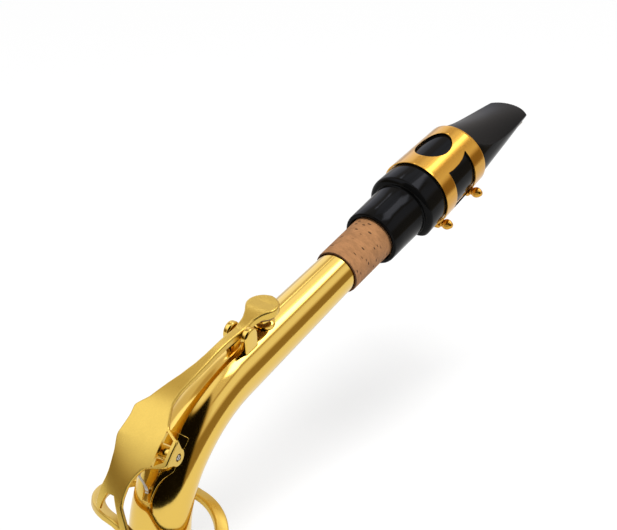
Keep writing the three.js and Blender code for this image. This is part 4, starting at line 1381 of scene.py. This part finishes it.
class NECK_OT_stage(PieceOperator, bpy.types.Operator):
    """Sets the floor, the light and the camera"""

    bl_idname = "neck.stage"
    bl_label = "Stage"

    def execute(self, context):
        scene = context.scene
        scene.view_settings.view_transform = "Standard"
        self.floor()
        self.light()
        self.world(scene)
        self.camera(scene)
        return {"FINISHED"}

    def floor(self):
        fresh()
        bpy.ops.mesh.primitive_plane_add(size=2.0, location=(0.5, 0.5, -0.0004))
        floor = named("studio_floor")
        finish = Finish(bpy.data.materials.new("floor_paper"))
        ray = finish.node("ShaderNodeLightPath")
        paper = finish.node("ShaderNodeBsdfDiffuse", {"Color": (0.86, 0.86, 0.86, 1)})
        glow = finish.node("ShaderNodeEmission", {"Color": WHITE, "Strength": FLOOR_GLOW})
        kinds = ("Is Camera Ray", "Is Glossy Ray")
        seen, mirrored = (Signal(finish, ray.outputs[kind]) for kind in kinds)
        mixed = finish.mixed(seen * 0.5 + mirrored * 0.22, paper, glow)
        finish.node("ShaderNodeOutputMaterial", {"Surface": mixed.outputs[0]})
        floor.data.materials.append(finish.owner)

    def light(self):
        fresh()
        place = LAMP_TOWARDS * LAMP_DISTANCE + Vector((0.08, 0, 0.05))
        bpy.ops.object.light_add(type="AREA", location=place)
        lamp = named("soft_box")
        lamp.rotation_euler = LAMP_TOWARDS.to_track_quat("Z", "Y").to_euler()
        lamp.data.shape = "SQUARE"
        lamp.data.size = 0.6
        lamp.data.energy = LAMP_ENERGY
        lamp.visible_glossy = False

    def world(self, scene):
        world = bpy.data.worlds.new("studio")
        scene.world = world
        finish = Finish(world)
        place = finish.node("ShaderNodeTexCoord").outputs["Generated"]
        turn = (0, 0, math.radians(80))
        about = finish.signal("ShaderNodeMapping", {"Vector": place, "Rotation": turn})
        axes = finish.node("ShaderNodeSeparateXYZ", {0: about})
        x, y, z = (Signal(finish, axis) for axis in axes.outputs)
        azimuth = y.maths("ARCTAN2", y, x) * math.degrees(1)
        height = z.maths("ARCSINE", z) * math.degrees(1)
        room = ROOM_LEVEL
        for brightness, left, right, soft, low, high, dim in ROOM:
            across = azimuth.step(left - soft, left + soft)
            across = across * (1 - azimuth.step(right - soft, right + soft))
            upright = height.step(low - dim, low + dim) * (1 - height.step(high - dim, high + dim))
            room = room + (brightness - room) * (across * upright)
        bright = room.step(0.15, 1.1)
        tint = finish.blend(bright, (1.05, 0.74, 0.32, 1), (1, 1.02, 1.15, 1))

        def background(colour, strength):
            return finish.node("ShaderNodeBackground", {"Color": colour, "Strength": strength})

        ray = finish.node("ShaderNodeLightPath").outputs
        lit = finish.mixed(ray["Is Glossy Ray"], background(WHITE, PLAIN_LIGHT), background(tint, room))
        seen = finish.mixed(ray["Is Camera Ray"], lit, background(WHITE, 1.0))
        finish.node("ShaderNodeOutputWorld", {"Surface": seen.outputs[0]})

    def camera(self, scene):
        fresh()
        bpy.ops.object.camera_add()
        camera = named("photo_camera")
        rows = [list(row) + [place] for row, place in zip(CAMERA_TURN, CAMERA_PLACE)]
        camera.matrix_world = Matrix(rows + [[0, 0, 0, 1]])
        camera.data.sensor_width = SENSOR
        camera.data.lens = FOCAL_PIXELS * SENSOR / PHOTO_WIDTH
        camera.data.clip_end = 30.0
        scene.camera = camera


PIECES = (
    NECK_OT_tube,
    NECK_OT_tenon,
    NECK_OT_cork,
    NECK_OT_pip,
    NECK_OT_saddle,
    NECK_OT_guides,
    NECK_OT_lever,
    NECK_OT_key_ring,
    NECK_OT_pivots,
    NECK_OT_mouthpiece,
    NECK_OT_reed,
    NECK_OT_ligature,
    NECK_OT_thumb_screws,
    NECK_OT_stage,
)


class NECK_PT_panel(bpy.types.Panel):
    """Lists the sizes, finishes and operators"""

    bl_idname = "NECK_PT_panel"
    bl_label = "Saxophone Neck"
    bl_space_type = "VIEW_3D"
    bl_region_type = "UI"
    bl_category = "Neck"

    def draw(self, context):
        for group in (context.scene.neck_sizes, context.scene.neck_finishes):
            column = self.layout.column()
            for name in group.bl_rna.properties.keys():
                if name not in {"rna_type", "name"}:
                    column.prop(group, name)
        for operator in PIECES:
            self.layout.operator(operator.bl_idname)


CLASSES = (NeckSizes, NeckFinishes) + PIECES + (NECK_PT_panel,)


def register():
    """Registers the classes and the scene's property groups."""
    for cls in CLASSES:
        bpy.utils.register_class(cls)
    bpy.types.Scene.neck_sizes = bpy.props.PointerProperty(type=NeckSizes)
    bpy.types.Scene.neck_finishes = bpy.props.PointerProperty(type=NeckFinishes)


def unregister():
    """Removes the property groups and the classes."""
    del bpy.types.Scene.neck_finishes
    del bpy.types.Scene.neck_sizes
    for cls in reversed(CLASSES):
        bpy.utils.unregister_class(cls)


def main():
    """Builds every piece and the stage."""
    register()
    for operator in PIECES:
        getattr(bpy.ops.neck, operator.bl_idname.split(".")[1])()
    fresh()


if __name__ == "__main__":
    main()
